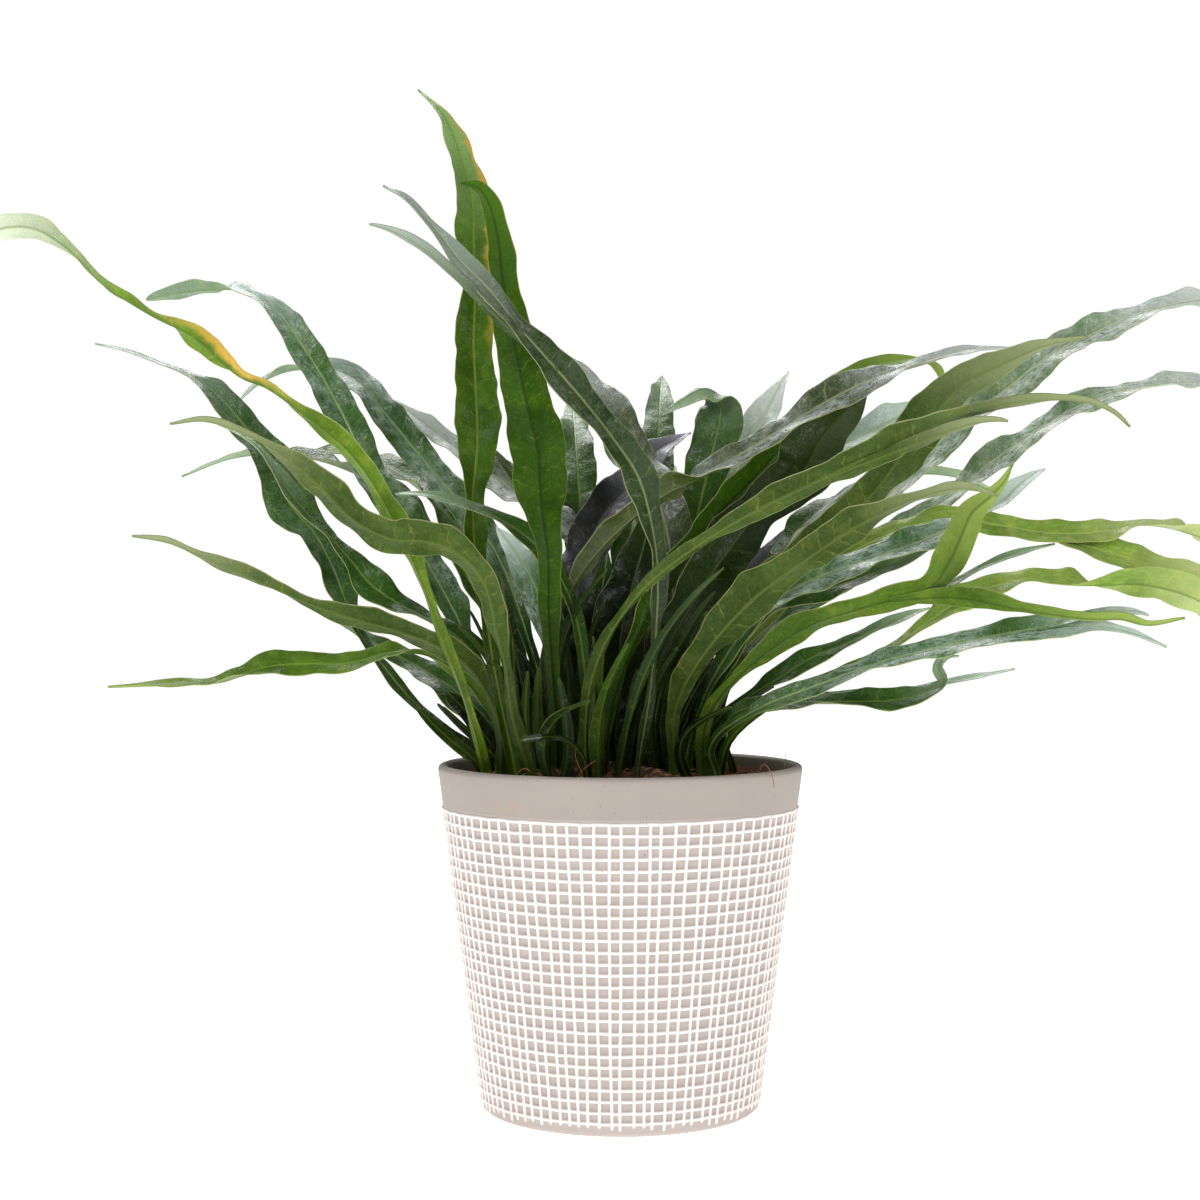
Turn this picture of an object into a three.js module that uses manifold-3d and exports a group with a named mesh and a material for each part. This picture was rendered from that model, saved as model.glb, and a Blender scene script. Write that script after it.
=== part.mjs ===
// A potted strap-leaf fern: long wavy fronds stand on a creeping rhizome in a filled pot.
// The pot is a straight cone of glazed stoneware with a raised net of white beads.
// Millimetres, +Z up, the origin at the middle of the pot's flat base, the front towards -Y.

import * as THREE from "three";
import { mergeVertices } from "three/addons/utils/BufferGeometryUtils.js";
import Module from "manifold-3d";

const wasm = await Module();
wasm.setup();

// Driving dimensions of the pot
const POT = { rimRadius: 75, footRadius: 56.8, height: 140, wall: 4.5, floor: 6, bevel: 1.2 };

// The raised net, drawn larger than life: fewer and wider beads than on the real pot
const NET = { columns: 36, rows: 11, low: 2.6, high: 123, beadHalf: 1.3, proud: 1.1 };

// The soil, level at the wall and heaped up a little in the middle
const SOIL = { wallLevel: 133, heap: 3.4, lump: 0.9, columns: 24, rings: 4, gap: 0.8 };

// The hole that a stalk stands in, how far the stalk goes down into it, and how far it stands straight
const HOLE = { width: 6, depth: 5, foot: 4.6, straight: 4 };

// The creeping rhizome, half sunk into the soil
const RHIZOME = { radius: 6.5, tipRadius: 4.5, sides: 6, step: 18, sunk: 2, gap: 0.3 };

// What all blades share: half thicknesses, the narrow stalk, the fold at the rib, the waves
const BLADE = {
  edge: 0.35,
  ribAbove: 0.5,
  ribBelow: 0.9,
  stalk: 3.4,
  fold: THREE.MathUtils.degToRad(14),
  wave: 0.3,
  waveLength: 50,
  segment: 18,
  tip: 0.45,
};

// The place of the eye in the photograph, and its picture: pixels from a centre at 600, 600
const EYE = new THREE.Vector3(-8.3, -877, 208.3);
const PICTURE = { middle: 600, focal: 2131 };

// Fronds traced in the photograph: name, foot on the soil, trace from foot to tip.
// Each point of a trace is pixels across and down, the depth behind the pot's middle in
// millimetres, the turn of the upper face in degrees (0 to the eye, 90 up or out, 180 away)
// and the width of the blade there in millimetres.
const FRONDS = [
  ["left_long_yellow", [-54, -28], [
    [470, 715, -42, 150, 4], [443, 640, -58, 150, 4.5], [421, 582, -64, 145, 6],
    [410, 556, -66, 140, 9], [376, 490, -66, 150, 10], [345, 450, -66, 150, 9],
    [300, 414, -64, 122, 8], [268, 391, -62, 115, 9], [240, 379, -60, 98, 8],
    [195, 341, -57, 150, 11], [150, 317, -54, 100, 7], [102, 286, -50, 105, 7],
    [80, 263, -47, 130, 8], [60, 246, -44, 145, 7.5], [35, 232, -41, 150, 10],
    [5, 231, -38, 155, 10], [-40, 250, -32, 150, 8], [-82, 285, -26, 130, 1.5],
  ]],
  ["left_arch", [-44, 4], [
    [497, 705, 10, 40, 4], [468, 645, 20, 45, 6], [443, 597, 28, 45, 17], [408, 535, 38, 35, 18],
    [371, 478, 48, 20, 16], [341, 415, 58, 10, 16], [308, 358, 66, 15, 14], [275, 315, 72, 40, 13],
    [243, 294, 74, 60, 14], [212, 293, 74, 118, 13], [175, 297, 72, 130, 9],
    [146, 303, 70, 125, 4],
  ]],
  ["left_broad", [-56, 6], [
    [440, 730, 14, 50, 4], [408, 702, 20, 50, 4.5], [385, 674, 26, 50, 5], [360, 640, 33, 55, 8],
    [345, 607, 38, 50, 11], [333, 575, 43, 45, 18], [315, 539, 48, 30, 17.5],
    [289, 506, 52, 15, 21.5], [276, 469, 56, 20, 19], [247, 433, 60, 25, 14.5],
    [214, 397, 64, 45, 12], [184, 377, 67, 60, 8], [158, 366, 68, 65, 4], [125, 354, 70, 65, 3],
    [95, 347, 72, 60, 1.5],
  ]],
  ["left_curved", [-36, -40], [
    [512, 720, -44, 150, 4], [507, 670, -50, 140, 5], [497, 640, -56, 140, 8],
    [491, 606, -64, 145, 11], [482, 582, -70, 155, 11.5], [457, 556, -78, 150, 14],
    [428, 545, -84, 150, 14], [388, 541, -90, 140, 17], [352, 522, -94, 150, 14.5],
    [322, 492, -98, 145, 12.5], [285, 460, -100, 130, 9], [245, 437, -102, 115, 6.5],
    [205, 424, -103, 110, 4.5], [170, 427, -103, 100, 1.5],
  ]],
  ["left_straight", [-48, -20], [
    [500, 720, -22, 140, 4], [484, 690, -26, 140, 7], [468, 667, -32, 140, 10],
    [440, 650, -40, 140, 13], [400, 635, -48, 145, 12.5], [360, 624, -56, 140, 11],
    [320, 611, -64, 135, 8.5], [280, 594, -71, 130, 8], [240, 576, -77, 125, 8],
    [200, 559, -82, 120, 6.5], [170, 546, -86, 115, 6], [132, 539, -88, 110, 2],
  ]],
  ["left_low", [-49, -14], [
    [497, 730, -14, 130, 4], [478, 698, -16, 140, 4.5], [455, 670, -20, 140, 8],
    [420, 655, -24, 120, 6.5], [390, 657, -28, 60, 10], [350, 667, -33, 35, 11.5],
    [310, 668, -37, 40, 11], [270, 671, -40, 50, 12], [240, 679, -42, 60, 13],
    [220, 685, -43, 65, 12], [190, 687, -43, 75, 8], [108, 690, -44, 80, 1.5],
  ]],
  ["left_twisted", [-50, -4], [
    [498, 712, -2, 60, 4], [472, 655, 2, 60, 6], [440, 630, 6, 60, 11], [400, 609, 10, 50, 13],
    [371, 589, 13, 30, 14], [347, 561, 16, 45, 11], [322, 533, 19, 65, 9], [300, 511, 21, 70, 9],
    [279, 483, 23, 60, 10], [258, 452, 25, 65, 6], [238, 437, 26, 70, 4], [218, 427, 27, 80, 1.5],
  ]],
  ["left_lower_broad", [-40, 16], [
    [496, 735, 20, 50, 5.5], [477, 713, 27, 40, 18], [457, 696, 33, 35, 18],
    [433, 679, 42, 30, 15], [402, 662, 52, 40, 9], [365, 642, 62, 55, 8], [325, 617, 72, 70, 1.5],
  ]],
  ["left_glossy", [-30, 24], [
    [540, 690, 34, 30, 4], [520, 620, 46, 25, 8], [498, 562, 58, 20, 15], [470, 519, 68, 20, 14],
    [441, 484, 76, 15, 14], [413, 451, 84, 15, 15], [384, 416, 92, 20, 15], [361, 388, 98, 40, 17],
    [335, 375, 104, 60, 15], [293, 373, 108, 80, 12], [262, 385, 110, 70, 9],
    [240, 403, 111, 60, 2],
  ]],
  ["left_grey", [8, 36], [
    [632, 660, 48, 40, 4], [612, 588, 62, 45, 9], [575, 541, 76, 50, 14], [525, 503, 90, 45, 20],
    [470, 463, 106, 40, 15], [430, 432, 118, 40, 11], [388, 401, 130, 50, 2],
  ]],
  ["tall_back", [-42, -32], [
    [503, 720, -31, 20, 4], [492, 665, -28, 30, 4], [484, 615, -23, 40, 5.5],
    [476, 577, -18, 30, 9.5], [472, 530, -10, 50, 11], [472, 495, -3, 35, 12],
    [477, 450, 4, 10, 17.5], [476, 405, 12, 10, 19.5], [473, 350, 20, 20, 17],
    [474, 300, 28, 30, 15.5], [473, 250, 36, 25, 17], [472, 205, 44, 20, 16],
    [461, 160, 52, 25, 13], [443, 120, 60, 50, 7], [418, 93, 68, 60, 1.5],
  ]],
  ["tall_front", [-25, -26], [
    [556, 715, -29, 170, 4.5], [551, 655, -34, 165, 6], [549, 620, -37, 165, 8.5],
    [549, 588, -40, 165, 10.5], [548, 555, -44, 165, 11], [543, 520, -48, 172, 15],
    [540, 485, -52, 178, 22], [538, 455, -55, 178, 23], [530, 420, -59, 175, 21],
    [520, 375, -64, 175, 16.5], [511, 330, -69, 170, 15.5], [503, 285, -73, 165, 11.5],
    [498, 240, -77, 160, 9.5], [489, 207, -80, 145, 8.5], [478, 191, -81, 130, 6],
    [460, 186, -82, 125, 1.5],
  ]],
  ["long_diagonal", [6, -36], [
    [648, 700, -42, 60, 4], [655, 630, -50, 50, 5.5], [656, 570, -58, 50, 10],
    [650, 525, -65, 40, 13], [637, 480, -71, 30, 13], [612, 442, -77, 30, 14],
    [584, 406, -82, 30, 14], [552, 369, -86, 30, 13], [520, 333, -89, 30, 9.5],
    [488, 293, -91, 30, 9], [458, 262, -93, 30, 8.5], [430, 228, -95, 40, 5],
    [405, 202, -96, 60, 5], [383, 189, -97, 75, 2],
  ]],
  ["centre_pale", [12, 10], [
    [668, 650, 20, 30, 7], [672, 590, 28, 30, 17], [666, 535, 38, 20, 21], [652, 490, 48, 10, 21],
    [629, 455, 58, 10, 19], [610, 418, 67, 15, 19.5], [585, 387, 76, 25, 15.5],
    [557, 360, 84, 40, 8], [530, 333, 92, 50, 1.5],
  ]],
  ["centre_thin", [-14, -14], [
    [585, 690, -18, 40, 4], [572, 610, -22, 40, 8], [545, 560, -26, 50, 10],
    [510, 530, -27, 50, 10], [470, 510, -27, 50, 8], [432, 499, -27, 60, 5],
    [395, 497, -27, 70, 1.5],
  ]],
  ["centre_mint", [-10, 20], [
    [566, 690, 25, 20, 9], [548, 625, 32, 15, 15], [530, 580, 44, 10, 14.5],
    [513, 552, 52, 15, 10], [496, 530, 60, 30, 1.5],
  ]],
  ["centre_small", [-2, 28], [
    [575, 620, 38, 30, 5], [548, 545, 50, 30, 7], [520, 492, 62, 40, 7], [503, 466, 70, 40, 5],
    [488, 448, 76, 50, 1.5],
  ]],
  ["centre_dark", [-16, 34], [
    [576, 610, 54, 20, 20], [586, 560, 64, 15, 22], [602, 521, 68, 10, 21], [631, 488, 82, 15, 18],
    [655, 456, 88, 30, 17], [672, 446, 92, 40, 8], [691, 436, 95, 60, 1.5],
  ]],
  ["long_right", [-28, -4], [
    [546, 690, -8, 140, 4], [552, 640, -12, 140, 4], [568, 597, -16, 130, 6.5],
    [595, 557, -20, 125, 10.5], [632, 521, -24, 130, 16], [668, 495, -27, 120, 16],
    [705, 478, -29, 60, 14], [745, 456, -30, 50, 10.5], [790, 428, -30, 40, 13.5],
    [835, 401, -29, 30, 15], [880, 380, -27, 45, 12.5], [920, 368, -25, 60, 9],
    [960, 356, -22, 65, 7], [1000, 352, -20, 75, 5], [1040, 357, -18, 80, 1.5],
  ]],
  ["top_folded", [4, 24], [
    [662, 690, 32, 30, 5], [682, 600, 44, 25, 16], [698, 520, 56, 15, 20],
    [710, 465, 66, 10, 20.5], [720, 425, 70, 10, 21.5], [721, 402, 71, 40, 19],
    [705, 392, 66, 105, 13], [684, 402, 60, 125, 9.5], [659, 419, 54, 120, 1.5],
  ]],
  ["top_back", [14, 34], [
    [680, 660, 50, 40, 5], [712, 560, 74, 35, 14], [736, 480, 96, 30, 14],
    [757, 432, 104, 20, 16.5], [768, 412, 109, 20, 13.5], [777, 395, 114, 30, 7.5],
    [789, 375, 120, 50, 2],
  ]],
  ["dark_broad", [4, -10], [
    [640, 710, -11, 150, 4.5], [662, 660, -12, 150, 10], [697, 600, -13, 160, 21],
    [731, 550, -14, 165, 23], [766, 507, -15, 170, 20], [803, 475, -16, 172, 25],
    [822, 440, -16, 172, 24], [849, 410, -16, 168, 16], [870, 388, -16, 155, 2],
  ]],
  ["lime_hook", [10, 0], [
    [680, 640, 8, 60, 4], [740, 540, 16, 60, 10], [790, 465, 22, 55, 13], [818, 415, 25, 45, 14],
    [839, 388, 28, 40, 15], [865, 374, 29, 50, 10.5], [892, 366, 28, 60, 8], [918, 364, 26, 60, 5],
    [934, 370, 22, 50, 6.5], [940, 385, 18, 50, 6], [937, 397, 15, 60, 1.5],
  ]],
  ["right_broad", [18, -8], [
    [672, 705, -12, 150, 4], [702, 655, -18, 150, 5], [748, 597, -24, 150, 11],
    [795, 560, -30, 150, 13], [838, 528, -35, 150, 13.5], [873, 496, -39, 155, 16.5],
    [902, 458, -42, 165, 19], [930, 423, -45, 165, 19.5], [962, 388, -47, 160, 17.5],
    [1003, 367, -48, 150, 11], [1042, 350, -48, 130, 6], [1088, 340, -48, 115, 1.5],
  ]],
  ["right_far", [22, 8], [
    [700, 690, 14, 50, 4], [765, 613, 25, 50, 5], [830, 548, 32, 45, 11], [880, 507, 40, 40, 15],
    [923, 465, 47, 40, 17.5], [960, 427, 54, 35, 17], [1007, 393, 60, 35, 17.5],
    [1051, 359, 66, 35, 18], [1097, 336, 72, 40, 15.5], [1143, 317, 78, 45, 14.5],
    [1195, 305, 84, 55, 13], [1240, 303, 89, 65, 8], [1285, 312, 93, 80, 1.5],
  ]],
  ["front_long", [-14, -40], [
    [585, 715, -48, 140, 4], [596, 665, -57, 140, 4.5], [617, 625, -66, 140, 5],
    [650, 585, -76, 140, 5.5], [700, 547, -86, 145, 7], [757, 513, -95, 150, 9.5],
    [805, 490, -102, 150, 11.5], [860, 464, -109, 150, 12.5], [915, 438, -115, 145, 11],
    [970, 415, -120, 135, 7.5], [1030, 404, -124, 115, 5], [1083, 404, -127, 105, 5],
    [1112, 415, -128, 100, 4], [1130, 430, -128, 100, 1.5],
  ]],
  ["front_broad", [22, -24], [
    [672, 720, -30, 150, 5.5], [687, 682, -38, 150, 11.5], [717, 640, -48, 155, 16.5],
    [757, 599, -58, 160, 18], [800, 567, -67, 155, 16], [846, 536, -75, 150, 14],
    [892, 511, -82, 140, 10], [930, 497, -87, 125, 7.5], [965, 491, -91, 115, 6],
    [998, 499, -94, 105, 1.5],
  ]],
  ["forked_bright", [33, -22], [
    [705, 722, -28, 150, 4], [735, 682, -36, 150, 6], [768, 654, -44, 150, 10],
    [808, 629, -52, 152, 12], [852, 614, -59, 150, 11], [895, 602, -65, 155, 10],
    [931, 590, -68, 165, 10], [951, 562, -70, 172, 14.5], [961, 540, -71, 175, 14],
    [972, 516, -72, 175, 10], [990, 500, -73, 170, 6.5], [1004, 485, -73, 150, 4],
    [1013, 467, -73, 130, 1.5],
  ]],
  ["bright_low", [40, -2], [
    [738, 722, 0, 60, 5.5], [790, 695, 2, 60, 4], [850, 672, 4, 70, 4], [885, 655, 5, 70, 6],
    [925, 629, 6, 50, 9], [955, 608, 6, 45, 12], [990, 592, 6, 50, 14], [1025, 583, 4, 50, 13.5],
    [1062, 587, 2, 65, 15], [1100, 588, 0, 115, 15], [1145, 588, -4, 140, 14],
    [1195, 602, -8, 150, 18], [1240, 630, -11, 150, 13], [1275, 662, -13, 130, 1.5],
  ]],
  ["bright_upper", [38, 10], [
    [715, 690, 17, 60, 4], [760, 633, 14, 60, 6], [820, 578, 14, 55, 10.5], [878, 543, 15, 50, 13],
    [925, 527, 16, 50, 14], [970, 525, 16, 35, 11], [1005, 530, 16, 25, 11],
    [1040, 536, 13, 20, 12], [1075, 538, 10, 40, 11], [1110, 535, 7, 50, 11],
    [1140, 528, 4, 60, 9], [1170, 531, 0, 60, 12], [1200, 540, -3, 120, 13],
    [1250, 560, -6, 140, 1.5],
  ]],
  ["low_fork", [38, -30], [
    [707, 745, -34, 50, 5], [735, 727, -38, 50, 6.5], [765, 709, -42, 50, 7.5],
    [800, 696, -46, 45, 9], [835, 683, -50, 40, 9.5], [880, 667, -54, 55, 10.5],
    [918, 657, -57, 60, 9.5], [955, 648, -59, 40, 12], [1000, 639, -60, 35, 11],
    [1045, 632, -61, 40, 11], [1090, 630, -61, 45, 9], [1130, 637, -61, 60, 6],
    [1167, 650, -61, 75, 2],
  ]],
  ["low_curl", [46, -14], [
    [722, 722, -16, 60, 5], [760, 709, -18, 60, 9], [800, 706, -19, 60, 11.5],
    [845, 706, -20, 60, 11], [890, 705, -20, 55, 12], [925, 697, -20, 50, 9.5],
    [944, 685, -20, 45, 6], [939, 671, -19, 50, 5.5], [945, 662, -17, 60, 5],
    [959, 659, -15, 70, 1.5],
  ]],
  ["low_thin", [42, 8], [
    [755, 710, 9, 70, 5], [800, 704, 10, 65, 7.5], [860, 699, 12, 65, 6], [915, 692, 14, 70, 6],
    [965, 683, 16, 70, 4.5], [1015, 672, 18, 80, 1.5],
  ]],
  ["low_twist", [32, 2], [
    [718, 720, 0, 60, 5], [748, 701, -2, 60, 8], [778, 684, -4, 55, 11], [808, 664, -5, 50, 10],
    [848, 647, -6, 55, 10], [882, 631, -7, 60, 8], [912, 618, -8, 65, 5], [930, 611, -8, 80, 1.5],
  ]],
  ["mid_blue", [27, -10], [
    [700, 712, -12, 50, 5], [727, 660, -16, 50, 8], [755, 622, -18, 45, 11],
    [790, 595, -16, 40, 13], [835, 575, -12, 40, 14], [880, 560, -8, 45, 14.5],
    [925, 544, -4, 50, 14], [965, 525, 0, 55, 12], [1000, 507, 3, 50, 9], [1020, 488, 5, 45, 8],
    [1045, 472, 8, 55, 2],
  ]],
  ["mid_blue_back", [34, 16], [
    [725, 690, 22, 50, 5], [760, 640, 30, 50, 10], [800, 608, 36, 45, 13], [845, 586, 41, 40, 14],
    [890, 565, 46, 45, 12], [930, 547, 50, 55, 8], [965, 530, 54, 65, 2],
  ]],
  ["right_pale", [26, 24], [
    [710, 690, 34, 50, 4], [770, 622, 48, 50, 6], [840, 567, 62, 45, 11], [900, 532, 74, 45, 12],
    [948, 503, 84, 45, 9], [989, 468, 92, 30, 16], [1022, 445, 99, 40, 12],
    [1072, 414, 106, 45, 14], [1120, 396, 112, 50, 12], [1165, 388, 118, 60, 13],
    [1210, 386, 124, 65, 12], [1255, 390, 130, 75, 6], [1285, 397, 134, 85, 1.5],
  ]],
  ["right_gloss", [16, 16], [
    [690, 650, 30, 60, 5], [726, 562, 46, 55, 11], [772, 500, 58, 50, 12], [826, 460, 68, 40, 13],
    [868, 436, 76, 30, 16], [905, 418, 82, 40, 13], [942, 402, 88, 60, 2],
  ]],
  ["back_purple", [27, 38], [
    [706, 640, 60, 30, 14], [738, 592, 68, 20, 14], [768, 562, 78, 15, 13], [792, 540, 88, 20, 10],
    [801, 529, 94, 30, 7], [809, 519, 98, 40, 1.5],
  ]],
  ["small_curl", [-28, -50], [
    [541, 752, -53, 150, 5], [548, 728, -57, 140, 7], [565, 712, -62, 120, 6],
    [597, 703, -68, 110, 1.5],
  ]],
  ["small_front", [-14, -54], [
    [580, 752, -56, 60, 4.5], [562, 738, -59, 60, 5], [538, 741, -62, 60, 4],
    [513, 746, -64, 70, 1.5],
  ]],
  ["centre_green", [-6, -24], [
    [608, 720, -25, 140, 4], [622, 675, -26, 140, 6], [643, 625, -20, 145, 10],
    [668, 580, -8, 150, 11.5], [695, 545, 0, 150, 12], [722, 513, 2, 150, 12],
    [748, 487, 4, 150, 13], [770, 463, 6, 150, 14], [790, 438, 8, 150, 9],
    [806, 418, 12, 140, 1.5],
  ]],
  ["right_under", [25, -1], [
    [693, 740, -2, 60, 4.5], [715, 690, -3, 50, 6], [745, 640, -4, 45, 9], [775, 608, -2, 40, 11],
    [830, 592, 2, 40, 12], [885, 572, 6, 45, 10], [925, 550, 8, 50, 7], [960, 532, 10, 60, 1.5],
  ]],
  ["right_thin", [30, 9], [
    [715, 705, 4, 60, 4], [762, 650, 6, 60, 5], [825, 618, 10, 60, 5], [885, 604, 12, 60, 5],
    [945, 590, 12, 55, 5], [985, 570, 11, 55, 5], [1018, 557, 10, 60, 4.5],
    [1055, 547, 9, 70, 1.5],
  ]],
  ["centre_deep", [0, 2], [
    [614, 738, 4, 15, 9], [622, 698, 7, 12, 19], [620, 640, 11, 10, 24], [632, 590, 15, 10, 22],
    [645, 545, 19, 15, 15], [655, 505, 22, 20, 1.5],
  ]],
  ["centre_left_deep", [-22, 10], [
    [562, 735, 13, 15, 8], [575, 690, 15, 12, 20], [592, 640, 18, 10, 20], [602, 595, 22, 15, 13],
    [608, 555, 26, 20, 1.5],
  ]],
  ["left_inner", [-36, -4], [
    [530, 745, 0, 20, 7], [524, 700, 2, 20, 7], [513, 650, 5, 20, 6], [505, 610, 8, 25, 5],
    [499, 575, 11, 30, 1.5],
  ]],
  ["left_foot", [-50, 8], [
    [492, 752, 12, 35, 8], [478, 730, 16, 30, 11], [464, 712, 20, 35, 9], [440, 692, 24, 45, 1.5],
  ]],
];

// Second prongs of forked fronds: frond, where it leaves (0 foot, 1 tip), trace
const FORKS = [
  ["long_diagonal", 0.66, [
    [500, 322, -90, 140, 6], [460, 284, -94, 130, 6], [425, 252, -97, 125, 5.5],
    [395, 235, -99, 120, 4], [368, 227, -100, 110, 1.5],
  ]],
  ["front_long", 0.6, [
    [910, 449, -114, 140, 6], [955, 431, -118, 130, 6], [985, 422, -121, 115, 5],
    [1013, 425, -124, 105, 1.5],
  ]],
  ["forked_bright", 0.63, [
    [965, 600, -71, 150, 9], [1000, 609, -72, 135, 9], [1045, 616, -73, 125, 7],
    [1090, 622, -74, 115, 6], [1122, 622, -74, 120, 6], [1148, 628, -74, 120, 5],
    [1185, 621, -74, 110, 1.5],
  ]],
  ["bright_upper", 0.7, [
    [1080, 549, 8, 40, 12], [1115, 558, 5, 35, 14.5], [1150, 569, 3, 35, 12],
    [1195, 577, -1, 50, 12.5], [1235, 590, -4, 60, 1.5],
  ]],
  ["low_fork", 0.76, [
    [1085, 620, -61, 50, 4.5], [1115, 612, -61, 50, 4], [1135, 614, -61, 60, 4],
    [1157, 621, -61, 70, 1.5],
  ]],
];

const YOUNG_FRONDS = ["left_long_yellow", "forked_bright", "bright_low", "bright_upper", "lime_hook"];

// The rhizome's creeping branches across the soil, as points from above
const RHIZOME_BRANCHES = [
  [[-56, -8], [-30, 4], [0, -4], [28, 6], [46, -4]],
  [[-26, 2], [-30, 24], [-18, 44]],
  [[10, -2], [16, 22], [4, 46]],
  [[-12, -2], [-24, -22], [-40, -38]],
  [[14, 0], [8, -22], [20, -38]],
];

// Fronds by rule for the far side: name, foot, greatest width, then the way it goes:
// heading and climb in degrees at the foot, length, the climb at the tip and the swing sideways
const RULED_FRONDS = [
  ["rear_left_low", [-40, 40], 17, [150, 78, 250, -25, 12]],
  ["rear_left", [-32, 46], 20, [132, 72, 265, -20, 10]],
  ["rear_left_high", [-12, 52], 18, [99, 78, 235, 10, -8]],
  ["rear_middle", [0, 54], 21, [86, 74, 260, -25, -10]],
  ["rear_middle_high", [12, 50], 17, [80, 85, 230, 15, 8]],
  ["rear_right", [26, 48], 20, [66, 70, 265, -22, 10]],
  ["rear_right_low", [36, 38], 16, [40, 76, 240, -25, -14]],
];

// A skin of triangles that becomes one closed geometry once equal corners are merged
class Skin {
  corners = [];

  triangle(a, b, c) {
    this.corners.push(a, b, c);
  }

  quad(a, b, c, d) {
    this.triangle(a, b, c);
    this.triangle(a, c, d);
  }

  geometry() {
    const merged = mergeVertices(new THREE.BufferGeometry().setFromPoints(this.corners), 1e-4);
    merged.computeVertexNormals();
    return merged;
  }
}

// Join rings of corners into a closed body; the listed sides are split along their other diagonal
function loft(rings, mirrored = []) {
  const skin = new Skin();
  const last = rings.length - 1;
  for (let k = 0; k < last; k += 1) {
    rings[k].forEach((corner, i) => {
      const j = (i + 1) % rings[k].length;
      const side = [corner, rings[k][j], rings[k + 1][j], rings[k + 1][i]];
      if (mirrored.includes(i)) side.push(side.shift());
      skin.quad(...side);
    });
  }
  for (let i = 1; i < rings[0].length - 1; i += 1) {
    skin.triangle(rings[0][0], rings[0][i + 1], rings[0][i]);
    skin.triangle(rings[last][0], rings[last][i], rings[last][i + 1]);
  }
  return skin.geometry();
}

function solid(geometry) {
  const bare = geometry.clone();
  bare.deleteAttribute("normal");
  bare.deleteAttribute("uv");
  const merged = mergeVertices(bare, 1e-4);
  const vertProperties = new Float32Array(merged.attributes.position.array);
  const triVerts = new Uint32Array(merged.index.array);
  return new wasm.Manifold(new wasm.Mesh({ numProp: 3, vertProperties, triVerts }));
}

// The one large body that a cut leaves; loose scraps are dropped
function largest(manifold) {
  return manifold.decompose().reduce((best, body) => (body.volume() > best.volume() ? body : best));
}

function surface(manifold) {
  const mesh = manifold.getMesh();
  const geometry = new THREE.BufferGeometry();
  geometry.setAttribute("position", new THREE.Float32BufferAttribute(mesh.vertProperties, 3));
  geometry.setIndex(new THREE.BufferAttribute(mesh.triVerts, 1));
  geometry.computeVertexNormals();
  return geometry;
}

const mix = THREE.MathUtils.lerp;

const smooth = (x, low, high) => THREE.MathUtils.smoothstep(x, low, high);

function around(radius, z, share) {
  const angle = 2 * Math.PI * share;
  return new THREE.Vector3(radius * Math.cos(angle), radius * Math.sin(angle), z);
}

// Pot
function potRadius(z) {
  return mix(POT.footRadius, POT.rimRadius, z / POT.height);
}

function ringOf(radius, z, count) {
  return Array.from({ length: count }, (_, i) => around(radius, z, i / count));
}

function joinRings(skin, lower, upper) {
  lower.forEach((corner, i) => {
    const j = (i + 1) % lower.length;
    skin.quad(corner, lower[j], upper[j], upper[i]);
  });
}

function closeWithFan(skin, centre, ring, facingUp) {
  ring.forEach((corner, i) => {
    const next = ring[(i + 1) % ring.length];
    if (facingUp) skin.triangle(centre, corner, next);
    else skin.triangle(centre, next, corner);
  });
}

function netRow(skin, low, high) {
  const inset = (z) => NET.beadHalf / (2 * Math.PI * potRadius(z));
  const bottom = low + NET.beadHalf;
  const top = high - NET.beadHalf;
  for (let column = 0; column < NET.columns; column += 1) {
    const left = column / NET.columns;
    const right = ((column + 1) % NET.columns) / NET.columns;
    const end = (column + 1) / NET.columns;
    const crest = [
      around(potRadius(low) + NET.proud, low, left),
      around(potRadius(low) + NET.proud, low, right),
      around(potRadius(high) + NET.proud, high, right),
      around(potRadius(high) + NET.proud, high, left),
    ];
    const cell = [
      around(potRadius(bottom), bottom, left + inset(bottom)),
      around(potRadius(bottom), bottom, end - inset(bottom)),
      around(potRadius(top), top, end - inset(top)),
      around(potRadius(top), top, left + inset(top)),
    ];
    cell.forEach((corner, i) => {
      const j = (i + 1) % cell.length;
      skin.quad(crest[i], crest[j], cell[j], corner);
    });
    skin.quad(...cell);
  }
}

function potGeometry() {
  const skin = new Skin();
  const ring = (radius, z) => ringOf(radius, z, NET.columns);
  const crest = (z) => ring(potRadius(z) + NET.proud, z);
  const inner = (z) => potRadius(z) - POT.wall;

  const sole = ring(potRadius(0) - POT.bevel, 0);
  const bevelTop = ring(potRadius(POT.bevel), POT.bevel);
  closeWithFan(skin, new THREE.Vector3(0, 0, 0), sole, false);
  joinRings(skin, sole, bevelTop);
  joinRings(skin, bevelTop, crest(NET.low));

  const pitch = (NET.high - NET.low) / NET.rows;
  for (let row = 0; row < NET.rows; row += 1) {
    netRow(skin, NET.low + row * pitch, NET.low + (row + 1) * pitch);
  }

  const bandLow = NET.high + NET.beadHalf;
  const lip = POT.height - POT.wall / 2;
  const lipMiddle = potRadius(lip) - POT.wall / 2;
  const upTheWall = [
    crest(NET.high),
    ring(potRadius(bandLow), bandLow),
    ring(potRadius(lip), lip),
    ring(lipMiddle + 0.3 * POT.wall, POT.height - 0.1 * POT.wall),
    ring(lipMiddle, POT.height),
    ring(lipMiddle - 0.3 * POT.wall, POT.height - 0.1 * POT.wall),
    ring(inner(lip), lip),
    ring(inner(POT.floor), POT.floor),
  ];
  for (let k = 1; k < upTheWall.length; k += 1) joinRings(skin, upTheWall[k - 1], upTheWall[k]);
  closeWithFan(skin, new THREE.Vector3(0, 0, POT.floor), upTheWall.at(-1), true);
  return skin.geometry();
}

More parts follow.
